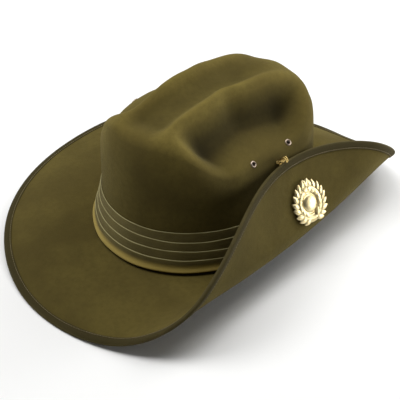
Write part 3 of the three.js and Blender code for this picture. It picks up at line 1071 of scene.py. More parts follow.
@dataclass(frozen=True)
class ThreadFinish:
    """Twisted sewing thread."""

    name: str = "olive_thread"
    dark: Colour = (0.10, 0.079, 0.036)
    light: Colour = (0.25, 0.20, 0.10)

    def material(self) -> bpy.types.Material:
        """Builds the thread's material.

        Returns:
            The material.
        """
        sheet = NodeSheet(self.name)
        strand = sheet.noise(2600.0, 2.0, 0.6)
        base = sheet.blend(sheet.between(strand, 0.35, 0.65), rgb(*self.dark), rgb(*self.light))
        sheet.shade(
            base_color=base, roughness=0.75, specular_ior_level=0.3, normal=sheet.bump(strand, 0.00008)
        )
        return sheet.material


@dataclass(frozen=True)
class MetalFinish:
    """Brass, dulled in patches."""

    kind: Metal = Metal.AGED_BRASS
    bright: Colour = (0.62, 0.45, 0.16)
    dull: Colour = (0.22, 0.15, 0.05)
    dulled: float = 0.6
    roughness: tuple[float, float] = (0.28, 0.5)

    def material(self) -> bpy.types.Material:
        """Builds the metal's material.

        Returns:
            The material.
        """
        sheet = NodeSheet(self.kind.value + "_finish")
        patch = sheet.noise(260.0, 4.0, 0.6)
        grain = sheet.noise(2400.0, 2.0, 0.6)
        dull = sheet.between(patch, 0.42, 0.72, 0.0, self.dulled)
        base = sheet.blend(dull, rgb(*self.bright), rgb(*self.dull))
        rough = sheet.between(patch, 0.3, 0.75, self.roughness[0], self.roughness[1])
        sheet.shade(base_color=base, metallic=1.0, roughness=rough, normal=sheet.bump(grain, 0.00003))
        return sheet.material


@dataclass(frozen=True)
class FloorFinish:
    """Plain pale floor."""

    name: str = "pale_floor"
    colour: Colour = (0.88, 0.88, 0.87)

    def material(self) -> bpy.types.Material:
        """Builds the floor's material.

        Returns:
            The material.
        """
        sheet = NodeSheet(self.name)
        tone = sheet.blend(sheet.noise(1.5, 1.0), rgb(*self.colour), toned(self.colour, 0.99))
        sheet.shade(base_color=tone, roughness=0.9, specular_ior_level=0.1)
        return sheet.material


# Repeated details by geometry nodes


class CopyTree:
    """A geometry node tree that sets copies of one small shape along a line.

    The line's points carry an "out" direction, away from the surface that the copies lie on.
    """

    def __init__(self, name: str, material: bpy.types.Material) -> None:
        """Builds the tree.

        Args:
            name: Name of the tree.
            material: Finish of the copies.
        """
        self.tree = bpy.data.node_groups.new(name, "GeometryNodeTree")
        self.sockets: dict[str, str] = {}
        self.tree.interface.new_socket("Geometry", in_out="INPUT", socket_type="NodeSocketGeometry")
        self.tree.interface.new_socket("Geometry", in_out="OUTPUT", socket_type="NodeSocketGeometry")
        for label, kind, value in (
            ("Copy", "NodeSocketObject", None),
            ("Spacing", "NodeSocketFloat", 0.003),
            ("Lean", "NodeSocketFloat", 0.0),
            ("Loose Turn", "NodeSocketFloat", 0.0),
            ("Loose Size", "NodeSocketFloat", 0.0),
            ("Seed", "NodeSocketInt", 7),
        ):
            socket = self.tree.interface.new_socket(label, in_out="INPUT", socket_type=kind)
            if value is not None:
                socket.default_value = value
            self.sockets[label] = socket.identifier
        new, link = self.tree.nodes.new, self.tree.links.new
        given, result = new("NodeGroupInput"), new("NodeGroupOutput")
        line, evenly = new("GeometryNodeMeshToCurve"), new("GeometryNodeResampleCurve")
        evenly.mode = "LENGTH"
        link(given.outputs["Geometry"], line.inputs["Mesh"])
        link(line.outputs["Curve"], evenly.inputs["Curve"])
        link(given.outputs["Spacing"], evenly.inputs["Length"])
        run, out = new("GeometryNodeInputTangent"), new("GeometryNodeInputNamedAttribute")
        out.data_type = "FLOAT_VECTOR"
        out.inputs["Name"].default_value = "out"
        along = new("FunctionNodeAlignRotationToVector")
        along.axis = "X"
        link(run.outputs["Tangent"], along.inputs["Vector"])
        away = new("FunctionNodeAlignRotationToVector")
        away.axis, away.pivot_axis = "Z", "X"
        link(along.outputs["Rotation"], away.inputs["Rotation"])
        link(out.outputs["Attribute"], away.inputs["Vector"])
        loose = self.random(new, link, given, "Loose Turn", 0)
        turn = new("ShaderNodeMath")
        link(given.outputs["Lean"], turn.inputs[0])
        link(loose, turn.inputs[1])
        angle, leaned = new("ShaderNodeCombineXYZ"), new("FunctionNodeRotateRotation")
        leaned.rotation_space = "LOCAL"
        link(turn.outputs["Value"], angle.inputs["Z"])
        link(away.outputs["Rotation"], leaned.inputs["Rotation"])
        link(angle.outputs["Vector"], leaned.inputs["Rotate By"])
        size = new("ShaderNodeMath")
        size.inputs[0].default_value = 1.0
        link(self.random(new, link, given, "Loose Size", 1), size.inputs[1])
        shape, copies = new("GeometryNodeObjectInfo"), new("GeometryNodeInstanceOnPoints")
        link(given.outputs["Copy"], shape.inputs["Object"])
        link(evenly.outputs["Curve"], copies.inputs["Points"])
        link(shape.outputs["Geometry"], copies.inputs["Instance"])
        link(leaned.outputs["Rotation"], copies.inputs["Rotation"])
        link(size.outputs["Value"], copies.inputs["Scale"])
        real, finish = new("GeometryNodeRealizeInstances"), new("GeometryNodeSetMaterial")
        finish.inputs["Material"].default_value = material
        link(copies.outputs["Instances"], real.inputs["Geometry"])
        link(real.outputs["Geometry"], finish.inputs["Geometry"])
        link(finish.outputs["Geometry"], result.inputs["Geometry"])

    @staticmethod
    def random(new: Callable, link: Callable, given: bpy.types.Node, label: str, step: int) -> Socket:
        """A random value between minus and plus an input.

        Args:
            new: Call that makes a node.
            link: Call that links two sockets.
            given: The tree's input node.
            label: Name of the input.
            step: Added to the seed, so that values differ.

        Returns:
            The random value.
        """
        low, seed, value = new("ShaderNodeMath"), new("ShaderNodeMath"), new("FunctionNodeRandomValue")
        low.operation = "MULTIPLY"
        low.inputs[1].default_value = -1.0
        seed.inputs[1].default_value = float(step)
        link(given.outputs[label], low.inputs[0])
        link(given.outputs["Seed"], seed.inputs[0])
        value.data_type = "FLOAT"
        floats = [s for s in value.inputs if s.type == "VALUE"]
        link(low.outputs["Value"], floats[0])
        link(given.outputs[label], floats[1])
        link(seed.outputs["Value"], value.inputs["Seed"])
        return [s for s in value.outputs if s.type == "VALUE"][0]

    def along(
        self, name: str, lines: Sequence[tuple[Array, Array, bool]], copy: bpy.types.Object, **inputs: float
    ) -> bpy.types.Object:
        """Sets copies along lines and returns them as a plain mesh.

        Args:
            name: Name of the object.
            lines: For each line its points in metres, their out directions and whether it closes.
            copy: The small shape, with its length along X and its back towards minus Z.
            **inputs: The tree's inputs, named with underscores for spaces.

        Returns:
            The object.
        """
        points, outs, edges = [], [], []
        for these, away, closed in lines:
            start, count = sum(map(len, points)), len(these)
            edges += [(start + i, start + (i + 1) % count) for i in range(count if closed else count - 1)]
            points.append(these)
            outs.append(away)
        mesh = bpy.data.meshes.new(name)
        mesh.from_pydata(np.concatenate(points).tolist(), edges, [])
        layer = mesh.attributes.new("out", "FLOAT_VECTOR", "POINT")
        layer.data.foreach_set("vector", np.concatenate(outs).astype(np.float32).ravel())
        made = bpy.data.objects.new(name, mesh)
        bpy.context.scene.collection.objects.link(made)
        modifier = made.modifiers.new("copies", "NODES")
        modifier.node_group = self.tree
        modifier[self.sockets["Copy"]] = copy
        for label, value in inputs.items():
            modifier[self.sockets[label.replace("_", " ").title()]] = value
        plain_mesh(made)
        made.data.shade_smooth()
        return made


# The hat's pieces


@dataclass
class FeltBody:
    """The one-piece felt: crown, corner and brim, with its eyelet holes."""

    form: HatForm
    columns: int = 288
    brim_rows: int = 30
    corner_rows: int = 7
    wall_rows: int = 20
    wall_shares: tuple[float, float] = (0.06, 0.86)
    steps_between_rings: int = 4
    hole_radius: float = 2.42
    hole_sides: int = 28
    hole_reach: float = 6.0
    # Power of the painted shade and highlight at some heights over the surroundings, darker in hollows and
    # paler on ridges where it is partly wear, and the shares of the wall that it fades over.
    painted_shade_relief: tuple[float, ...] = (-9.0, -3.0, 0.0, 6.5)
    painted_shade_power: tuple[float, ...] = (-1.2, -0.25, 0.0, 0.5)
    painted_shade_fade: tuple[float, float] = (0.55, 0.9)

    def middle_grid(self) -> tuple[Array, Array]:
        """Lays out the felt's middle surface.

        Returns:
            Its points from the brim edge in to the crease, and their height over their surroundings.
        """
        angle = (np.arange(self.columns) * 2.0 * math.pi / self.columns)[:, None]
        inner = self.form.corner_radius / self.form.brim_width
        brim = self.form.brim_point(angle, np.linspace(1.0, inner + 0.02, self.brim_rows)[None])
        corner = self.form.corner_point(angle, np.linspace(0.0, 1.0, self.corner_rows)[None])
        shares = np.linspace(*self.wall_shares, self.wall_rows)
        wall = self.form.wall_point(angle, shares[None])
        table = np.array(TOP_RINGS)
        places = np.linspace(0, len(table) - 1, (len(table) - 1) * self.steps_between_rings + 1)
        rings = np.stack([np.interp(places, np.arange(len(table)), table[:, k]) for k in range(3)], axis=-1)
        x, y = self.form.ring_plan(angle, rings[None])
        top = self.form.relief(x, y)
        low = np.zeros((self.columns, self.brim_rows + self.corner_rows))
        relief = np.concatenate([low, top[:, :1] * smooth_step(*self.painted_shade_fade, shares), top], axis=1)
        return np.concatenate([brim, corner, wall, self.form.top_point(x, y)], axis=1), relief

    def paint_wear_and_shade(self, felt: bpy.types.Object, grid: Array, relief: Array) -> None:
        """Marks each place of the felt with a colour factor: painted shade in hollows and on steep falls, and
        paler ridges that are partly wear and partly painted highlight.

        Args:
            felt: The finished mesh.
            grid: Points of the middle surface, in millimetres.
            relief: Height of each over its surroundings.
        """
        tree = KDTree(grid[..., 0].size)
        for number, point in enumerate(placed(grid).reshape(-1, 3)):
            tree.insert(point, number)
        tree.balance()
        shade = np.exp(np.interp(relief, self.painted_shade_relief, self.painted_shade_power)).ravel()
        values = [shade[tree.find(vertex.co)[1]] for vertex in felt.data.vertices]
        # The "rubbed" attribute carries this painted shade and highlight as well as wear.
        felt.data.attributes.new("rubbed", "FLOAT", "POINT").data.foreach_set("value", values)

    @staticmethod
    def grid_normals(grid: Array, pole: Array) -> Array:
        """Upward and outward normals of the grid.

        Args:
            grid: Its points.
            pole: Point that its last row closes on.

        Returns:
            A normal for each point.
        """
        round_ = np.roll(grid, -1, axis=0) - np.roll(grid, 1, axis=0)
        inner = np.concatenate([grid[:, 1:], np.broadcast_to(pole, grid[:, :1].shape)], axis=1)
        outer = np.concatenate([grid[:, :1], grid[:, :-1]], axis=1)
        return unit(np.cross(round_, unit(inner - grid) + unit(grid - outer)))

    def build(self, places: Sequence[Matrix], finish: bpy.types.Material) -> bpy.types.Object:
        """Builds the felt.

        Args:
            places: Frames of the eyelets, in metres.
            finish: Its material.

        Returns:
            The finished piece.
        """
        grid, relief = self.middle_grid()
        pole = self.form.top_point(0.0, 0.0)
        normals = self.grid_normals(grid, pole)
        half = self.form.thickness / 2.0
        count, rows = grid.shape[:2]
        size = count * rows
        points = np.concatenate([
            (grid + half * normals).reshape(-1, 3), (grid - half * normals).reshape(-1, 3),
            [pole + (0, 0, half)], [pole - (0, 0, half)],
        ])
        faces: Faces = []
        for i in range(count):
            a, b = i * rows, (i + 1) % count * rows
            for j in range(rows - 1):
                faces.append((a + j, b + j, b + j + 1, a + j + 1))
                faces.append((size + a + j, size + a + j + 1, size + b + j + 1, size + b + j))
            faces.append((a, size + a, size + b, b))
            faces.append((a + rows - 1, b + rows - 1, 2 * size))
            faces.append((size + b + rows - 1, size + a + rows - 1, 2 * size + 1))
        made = build_object("hat_felt", placed(points), faces)
        self.pierce(made, places)
        self.paint_wear_and_shade(made, grid, relief)
        return dress(made, finish, ["felt_body"])

    def pierce(self, felt: bpy.types.Object, places: Sequence[Matrix]) -> None:
        """Cuts a round hole at each place.

        Args:
            felt: The mesh to cut.
            places: Frames of the holes, in metres.
        """
        turn = np.arange(self.hole_sides) * 2.0 * math.pi / self.hole_sides
        ring = np.stack([np.cos(turn), np.sin(turn), 0.0 * turn], axis=-1) * self.hole_radius
        reach = np.array([0.0, 0.0, self.hole_reach])
        ends = np.concatenate([ring - reach, ring + reach]) * TO_METRES
        n = self.hole_sides
        faces = [(j, (j + 1) % n, n + (j + 1) % n, n + j) for j in range(n)]
        faces += [tuple(reversed(range(n))), tuple(range(n, 2 * n))]
        shapes = []
        for place in places:
            matrix = np.array(place)
            shapes.append((ends @ matrix[:3, :3].T + matrix[:3, 3], faces))
        drill = build_object("drill", *joined_shapes(shapes))
        cut = felt.modifiers.new("eyelet_holes", "BOOLEAN")
        cut.operation, cut.solver, cut.object = "DIFFERENCE", "EXACT", drill
        plain_mesh(felt)
        bpy.data.meshes.remove(drill.data)
        felt.data.set_sharp_from_angle(angle=math.radians(50.0))


@dataclass
class PleatedBand:
    """Cloth band of upward folds round the foot of the crown."""

    form: HatForm
    columns: int = 360
    fold_tops: tuple[float, ...] = (15.3, 23.3, 31.7, 40.2)
    fold_out: tuple[float, ...] = (4.1, 3.15, 2.2, 1.25)
    cloth: float = 0.44
    tuck: float = 1.4
    swell: float = 0.16
    back: float = 0.12
    # The flared hem, from behind: height, stand-off and pattern place.
    hem: tuple[tuple[float, float, float], ...] = (
        (4.6, 0.12, 0.0), (3.9, 1.2, 0.02), (3.5, 2.6, 0.04), (3.4, 4.0, 0.06), (3.5, 5.0, 0.08),
        (3.8, 5.6, 0.1), (4.3, 5.9, 0.13), (4.9, 5.85, 0.17), (5.6, 5.5, 0.22), (6.6, 4.95, 0.29),
        (7.9, 4.45, 0.37), (9.6, 4.15, 0.46),
    )
    # Its back, from the top down: height, number of the fold and pattern place.
    behind: tuple[tuple[float, float, float], ...] = (
        (38.0, 3.0, 3.995), (28.0, 2.0, 2.5), (16.0, 1.0, 1.5), (9.0, 0.0, 0.5),
    )
    # Unevenness of the folds: size, turns round the hat, shift for each fold and start.
    waves: tuple[tuple[float, float, float, float], ...] = (
        (0.16, 3, 1.7, 0.0), (0.12, 7, 2.9, 0.8), (0.07, 19, 4.1, 0.0),
    )
    wave_heights: tuple[float, float] = (6.0, 13.0)
    # Unevenness of the stand-off: share, turns round the hat and shift for each fold.
    stand_waves: tuple[tuple[float, float, float], ...] = ((0.05, 5, 2.1), (0.03, 13, 1.0))
    # How far the hem rises on the left, clear of the fold, and the heights that it fades over.
    left_rise: float = 1.5
    left_heights: tuple[float, float] = (3.0, 9.0)

    def profile(self) -> Array:
        """Lays out the band's closed outline.

        Returns:
            Height, stand-off, number of the fold and pattern place, as rows of four.
        """
        places = [(z, out, 0.0, place) for z, out, place in self.hem]
        start, before, share = self.hem[-1]
        r = self.cloth
        for fold, (top, out) in enumerate(zip(self.fold_tops, self.fold_out)):
            for step in np.linspace(0.0, 1.0, 7)[1:]:
                face = before + (out - before) * step + self.swell * math.sin(math.pi * step)
                height = start + (top - r - start) * step
                places.append((height, face, float(fold), fold + share + (0.9 - share) * step))
            for k, turn in enumerate(np.radians([30, 60, 90, 120, 150, 180])):
                height, face = top - r + r * math.sin(turn), out - r + r * math.cos(turn)
                places.append((height, face, float(fold), fold + 0.95 + 0.007 * k))
            if fold < len(self.fold_tops) - 1:
                start, before, share = top - r - self.tuck, self.fold_out[fold + 1] + 0.02, 0.0
                places.append((start, out - 2.0 * r, float(fold), fold + 0.995))
                places.append((start, before, fold + 1.0, fold + 1.0))
        places += [(height, self.back, fold, place) for height, fold, place in self.behind]
        return np.array(places)

    def build(self, finish: bpy.types.Material) -> bpy.types.Object:
        """Builds the band.

        Args:
            finish: Its material.

        Returns:
            The finished piece.
        """
        outline = self.profile()
        angle = (np.arange(self.columns) * 2.0 * math.pi / self.columns)[:, None]
        height, stand, fold = (outline[:, k][None] for k in range(3))
        wave = sum(
            size * np.sin(turns * angle + shift * fold + start) for size, turns, shift, start in self.waves
        )
        upper = smooth_step(*self.wave_heights, height)
        left = np.maximum(np.sin(angle), 0.0) ** 3 * (1.0 - smooth_step(*self.left_heights, height))
        stand = stand * sum(
            (size * np.sin(turns * angle + shift * fold) for size, turns, shift in self.stand_waves), 1.0
        )
        height = height + wave * upper + self.left_rise * left
        wall = self.form.wall_at_height(angle, height)
        beside = self.form.wall_at_height(angle + 0.01, height)
        run = beside - wall
        away = unit(np.stack([run[..., 1], -run[..., 0], 0.0 * run[..., 0]], axis=-1))
        facing = np.sum(away[..., :2] * wall[..., :2], axis=-1, keepdims=True)
        away = np.where(facing < 0.0, -away, away)
        rings = placed(wall + away * (self.form.thickness / 2.0 + stand)[..., None])
        made = loop_sweep("folded_band", rings, lengths_round(rings), np.append(outline[:, 3], 0.0))
        return dress(made, finish, ["puggaree_band"])


@dataclass
class EdgeBraid:
    """Braid bound over the raw edge of the brim, with its two lines of stitches."""

    form: HatForm
    columns: int = 640
    stitch_in: float = 4.9
    stitch_spacing: float = 2.7
    stitch_length: float = 1.7
    stitch_radius: float = 0.26
    stitch_rise: float = 1.68
    stitch_places: int = 960
    floor: float = -22.75
    # Unevenness of the inner edges: share, turns round the hat and start, and how far in they begin.
    wavers: tuple[tuple[float, float, float], ...] = ((0.025, 11, 1.3), (0.02, 23, 0.0))
    waver_from: float = 3.0
    # Upper half of the outline: how far in from the edge, and height over the felt's middle.
    upper: tuple[tuple[float, float], ...] = (
        (5.8, 0.95), (5.8, 1.5), (5.6, 1.74), (5.25, 1.7), (4.9, 1.56), (4.55, 1.7), (3.9, 1.86),
        (2.7, 1.96), (1.4, 2.0), (0.4, 1.9), (-0.4, 1.66), (-0.95, 1.15), (-1.25, 0.55), (-1.33, 0.0),
    )

    def outline(self) -> Array:
        """Lays out the braid's closed outline.

        Returns:
            How far in from the edge, height and pattern place from 0 to 1, as rows of three.
        """
        over = list(self.upper)
        under = [(run, -rise) for run, rise in reversed(over[:-1])]
        outside = np.array(over + under)
        steps = np.linalg.norm(np.diff(outside, axis=0), axis=1)
        share = np.concatenate([[0.0], np.cumsum(steps)]) / steps.sum()
        inside = [(5.7, -0.9, 0.97), (0.6, -0.9, 0.6), (0.6, 0.9, 0.4), (5.7, 0.9, 0.03)]
        return np.vstack([np.column_stack([outside, share]), inside])

    def on_edge(self, angle: Array, run: Array, rise: Array) -> tuple[Array, Array]:
        """Places measured from the brim's edge.

        Args:
            angle: Angle from the front.
            run: Distance in from the edge.
            rise: Distance from the felt's middle, over its upper face.

        Returns:
            The points and the felt's upper normals there, in millimetres.
        """
        inward = np.maximum(run, 0.0)
        point, out, normal = self.form.brim_frame(angle, 1.0 - inward / self.form.brim_width)
        point = point + out * (inward - run)[..., None] + normal * rise[..., None]
        point[..., 2] = np.maximum(point[..., 2], self.floor)
        return point, normal

    def build(self, finish: bpy.types.Material) -> bpy.types.Object:
        """Builds the braid.

        Args:
            finish: Its material.

        Returns:
            The finished piece.
        """
        outline = self.outline()
        angle = (np.arange(self.columns) * 2.0 * math.pi / self.columns)[:, None]
        run, rise = (np.broadcast_to(outline[:, k][None], (self.columns, len(outline))) for k in (0, 1))
        waver = sum((size * np.sin(turns * angle + start) for size, turns, start in self.wavers), 1.0)
        run = np.where(run > self.waver_from, run * waver, run)
        points, _ = self.on_edge(np.broadcast_to(angle, run.shape), run, rise)
        rings = placed(points)
        made = loop_sweep("brim_braid", rings, lengths_round(rings), np.append(outline[:, 2], 0.0))
        return dress(made, finish, ["edge_binding"])

    def stitches(self, finish: bpy.types.Material) -> bpy.types.Object:
        """Builds both lines of stitches.

        Args:
            finish: Material of the thread.

        Returns:
            The finished piece.
        """
        end = self.stitch_length / 2
        middle = np.array([[-end, 0, -0.12], [-0.3, 0, 0.05], [0.3, 0, 0.05], [end, 0, -0.12]])
        points, faces = wire_shape(middle, self.stitch_radius, 6)
        stitch = build_object("one_stitch", points * TO_METRES, faces)
        tree = CopyTree("stitches_along_braid", finish)
        angle = np.arange(self.stitch_places) * 2.0 * math.pi / self.stitch_places
        lines = []
        for face in Face:
            rise = np.full(angle.shape, face.value * self.stitch_rise)
            point, normal = self.on_edge(angle, np.full(angle.shape, self.stitch_in), rise)
            lines.append((placed(point), normal * face.value, True))
        made = tree.along(
            "braid_stitching", lines, stitch, spacing=self.stitch_spacing * TO_METRES, lean=0.0,
            loose_turn=0.1, loose_size=0.08, seed=11,
        )
        bpy.data.meshes.remove(stitch.data)
        return dress(made, finish, [])


@dataclass
class Eyelets:
    """Rolled brass eyelets that air the crown."""

    form: HatForm
    sides: int = 36
    # Name, side, place along the hat and height over the foot of the crown.
    places: tuple[tuple[str, Side, float, float], ...] = (
        ("eyelet_left_front", Side.LEFT, -16.5, 83.2),
        ("eyelet_left_rear", Side.LEFT, 30.0, 80.6),
        ("eyelet_right_front", Side.RIGHT, -13.0, 85.0),
        ("eyelet_right_rear", Side.RIGHT, 30.0, 82.0),
    )
    # Half of the profile: radius, and height over the felt's face.
    rim: tuple[tuple[float, float], ...] = (
        (1.75, 0.1), (1.8, 0.42), (1.96, 0.64), (2.24, 0.74), (2.54, 0.68), (2.82, 0.46), (3.0, 0.2),
        (3.03, 0.0), (2.9, -0.12), (2.2, -0.1),
    )

    def frames(self) -> list[Matrix]:
        """Finds where the eyelets sit.

        Returns:
            A frame for each in metres, with Z out of the felt.
        """
        made = []
        for _, side, y, z in self.places:
            point, normal = self.form.side_place(side, y, z)
            turn = Vector((0.0, 0.0, 1.0)).rotation_difference(Vector(normal)).to_matrix().to_4x4()
            made.append(Matrix.Translation(Vector(placed(point))) @ turn)
        return made

    def build(self, finish: bpy.types.Material) -> list[bpy.types.Object]:
        """Builds the eyelets.

        Args:
            finish: Their material.

        Returns:
            The finished pieces.
        """
        face = self.form.thickness / 2.0
        top = [(r, face + z) for r, z in self.rim]
        under = [(r, -z) for r, z in reversed(top)]
        points, faces = turned_shape(top + under, self.sides)
        made = []
        for (node, _, _, _), place in zip(self.places, self.frames()):
            matrix = np.array(place)
            here = (points * TO_METRES) @ matrix[:3, :3].T + matrix[:3, 3]
            piece = build_object(node.replace("eyelet", "vent"), here, faces)
            made.append(dress(piece, finish, [node]))
        return made


@dataclass
class WreathBadge:
    """Gilt badge on the turned-up brim: a wreath of leaves round a beaded boss."""

    form: HatForm
    angle: float = math.radians(99.0)
    q: float = 0.52
    lift: float = 2.3
    plate: float = 1.2
    leaf_length: float = 8.6
    leaf_width: float = 4.3
    leaf_fullness: float = 0.8
    leaf_edge: float = 0.5
    leaf_swell: float = 0.55
    leaf_rib: float = 0.28
    leaf_bow: float = 0.5
    leaf_depth: float = 0.7
    boss: float = 8.2
    boss_rise: float = 2.5
    boss_shares: tuple[float, ...] = (0.25, 0.45, 0.62, 0.76, 0.87, 0.95, 1.0)
    # Ring round the boss: radius, and height over the plate.
    moulding: tuple[tuple[float, float], ...] = (
        (9.0, -0.1), (11.4, 0.05), (12.2, 0.5), (13.0, 0.95), (13.6, 1.1), (14.2, 0.95), (15.0, 0.4),
        (16.4, 0.1), (16.9, -0.4),
    )
    back: tuple[tuple[float, float], ...] = ((16.8, 0.25), (16.4, 0.0), (0.02, 0.0))
    bead: tuple[tuple[float, float], ...] = (
        (0.02, 0.62), (0.35, 0.52), (0.55, 0.28), (0.6, 0.0), (0.5, -0.3), (0.02, -0.3),
    )
    bead_circle: float = 9.5
    bead_spacing: float = 1.42
    leaf_rise: float = 0.35
    # Start, stop and turning sense of each branch, in degrees.
    branches: tuple[tuple[float, float, float], ...] = ((-74.0, 84.0, 1.0), (254.0, 96.0, -1.0))
    # Rows of leaves on a branch: name, radius, later start, spacing, lean, loose size and seed.
    leaf_rows: tuple[tuple[str, float, float, float, float, float, int], ...] = (
        ("outer", 14.1, 0.0, 4.2, -0.74, 0.05, 3), ("inner", 13.2, 5.0, 4.6, 0.5, 0.06, 8),
    )

    def frame(self) -> Matrix:
        """Finds where the badge sits.

        Returns:
            Its frame in metres: Z away from the felt, Y towards the brim's edge.
        """
        brim = self.form.brim_point
        point = brim(self.angle, self.q)
        up = unit(brim(self.angle, self.q + 0.1) - brim(self.angle, self.q - 0.1))
        across = brim(self.angle + 0.08, self.q) - brim(self.angle - 0.08, self.q)
        away = unit(np.cross(across, up))
        away = away if away[0] > 0.0 else -away
        matrix = Matrix.Identity(4)
        for column, axis in enumerate((unit(np.cross(up, away)), up, away)):
            matrix.col[column] = (*axis, 0.0)
        return Matrix.Translation(Vector(placed(point + away * self.lift))) @ matrix

    def leaf(self) -> bpy.types.Object:
        """Builds one pointed leaf with a raised middle rib.

        Returns:
            The leaf, its root at the origin.
        """
        rows, columns = 9, 7
        points = []
        for i in range(rows):
            share = i / (rows - 1)
            fullness = math.sin(math.pi * share**self.leaf_fullness) ** self.leaf_fullness
            half = 0.5 * self.leaf_width * fullness + 0.12
            for j in range(columns):
                side = -1.0 + 2.0 * j / (columns - 1)
                swell = self.leaf_swell * (1.0 - side * side) * math.sin(math.pi * min(share + 0.08, 1.0))
                rib = self.leaf_rib * max(0.0, 1.0 - 3.0 * abs(side)) * (1.0 - share)
                bow = self.leaf_bow * share * (1 - share)
                points.append((self.leaf_length * share, half * side, swell + self.leaf_edge + rib + bow))
        size = rows * columns
        points += [(x, y, -self.leaf_depth) for x, y, _ in points]
        faces = []
        for i in range(rows - 1):
            for j in range(columns - 1):
                a = i * columns + j
                faces.append((a, a + columns, a + columns + 1, a + 1))
                faces.append((size + a, size + a + 1, size + a + columns + 1, size + a + columns))
        rim = list(range(columns)) + [i * columns + columns - 1 for i in range(1, rows)]
        rim += [size - 2 - j for j in range(columns - 1)] + [i * columns for i in range(rows - 2, 0, -1)]
        for a, b in zip(rim, rim[1:] + rim[:1]):
            faces.append((a, b, size + b, size + a))
        return build_object("one_leaf", np.array(points) * TO_METRES, faces)

    @staticmethod
    def arc(
        radius: float, start: float, stop: float, height: float, closed: bool = False
    ) -> tuple[Array, Array, bool]:
        """Part of a circle on the badge.

        Args:
            radius: Its radius.
            start: Angle where it starts, in degrees.
            stop: Angle where it stops.
            height: Height over the badge's back.
            closed: Whether it is a whole circle.

        Returns:
            Its points in metres, their out directions and whether it closes.
        """
        turn = np.radians(np.linspace(start, stop, 90, endpoint=not closed))
        level = np.full(turn.shape, height)
        points = np.stack([radius * np.cos(turn), radius * np.sin(turn), level], axis=-1)
        return points * TO_METRES, np.tile([0.0, 0.0, 1.0], (len(turn), 1)), closed

    def build(self, finish: bpy.types.Material) -> bpy.types.Object:
        """Builds the badge.

        Args:
            finish: Its material.

        Returns:
            The finished piece.
        """
        top = self.plate
        profile = [(0.02, top + self.boss_rise)]
        profile += [(self.boss * s, top + self.boss_rise * math.sqrt(1 - s**2.4)) for s in self.boss_shares]
        profile += [(radius, top + rise) for radius, rise in self.moulding]
        base_points, base_faces = turned_shape(profile + list(self.back), 72)
        base = build_object("badge_base", base_points * TO_METRES, base_faces)
        tree = CopyTree("copies_round_badge", finish)
        leaf = self.leaf()
        bead_points, bead_faces = turned_shape(self.bead, 10)
        bead = build_object("one_bead", bead_points * TO_METRES, bead_faces)
        parts = [base]
        for k, (start, stop, way) in enumerate(self.branches):
            for name, radius, later, spacing, lean, loose_size, seed in self.leaf_rows:
                line = self.arc(radius, start + way * later, stop, top + self.leaf_rise)
                parts.append(tree.along(
                    f"{name}_{k}", [line], leaf, spacing=spacing * TO_METRES, lean=way * lean,
                    loose_turn=0.07, loose_size=loose_size, seed=seed + k,
                ))
        beads = self.arc(self.bead_circle, 0.0, 360.0, top - 0.02, closed=True)
        parts.append(tree.along("beads", [beads], bead, spacing=self.bead_spacing * TO_METRES))
        place = np.array(self.frame())
        shapes = []
        for part in parts:
            points = np.empty(len(part.data.vertices) * 3)
            part.data.vertices.foreach_get("co", points)
            points = points.reshape(-1, 3) @ place[:3, :3].T + place[:3, 3]
            shapes.append((points, [tuple(face.vertices) for face in part.data.polygons]))
            bpy.data.meshes.remove(part.data)
        for spare in (leaf, bead):
            bpy.data.meshes.remove(spare.data)
        made = build_object("wreath_badge", *joined_shapes(shapes))
        made.data.set_sharp_from_angle(angle=math.radians(50.0))
        return dress(made, finish, ["badge"])


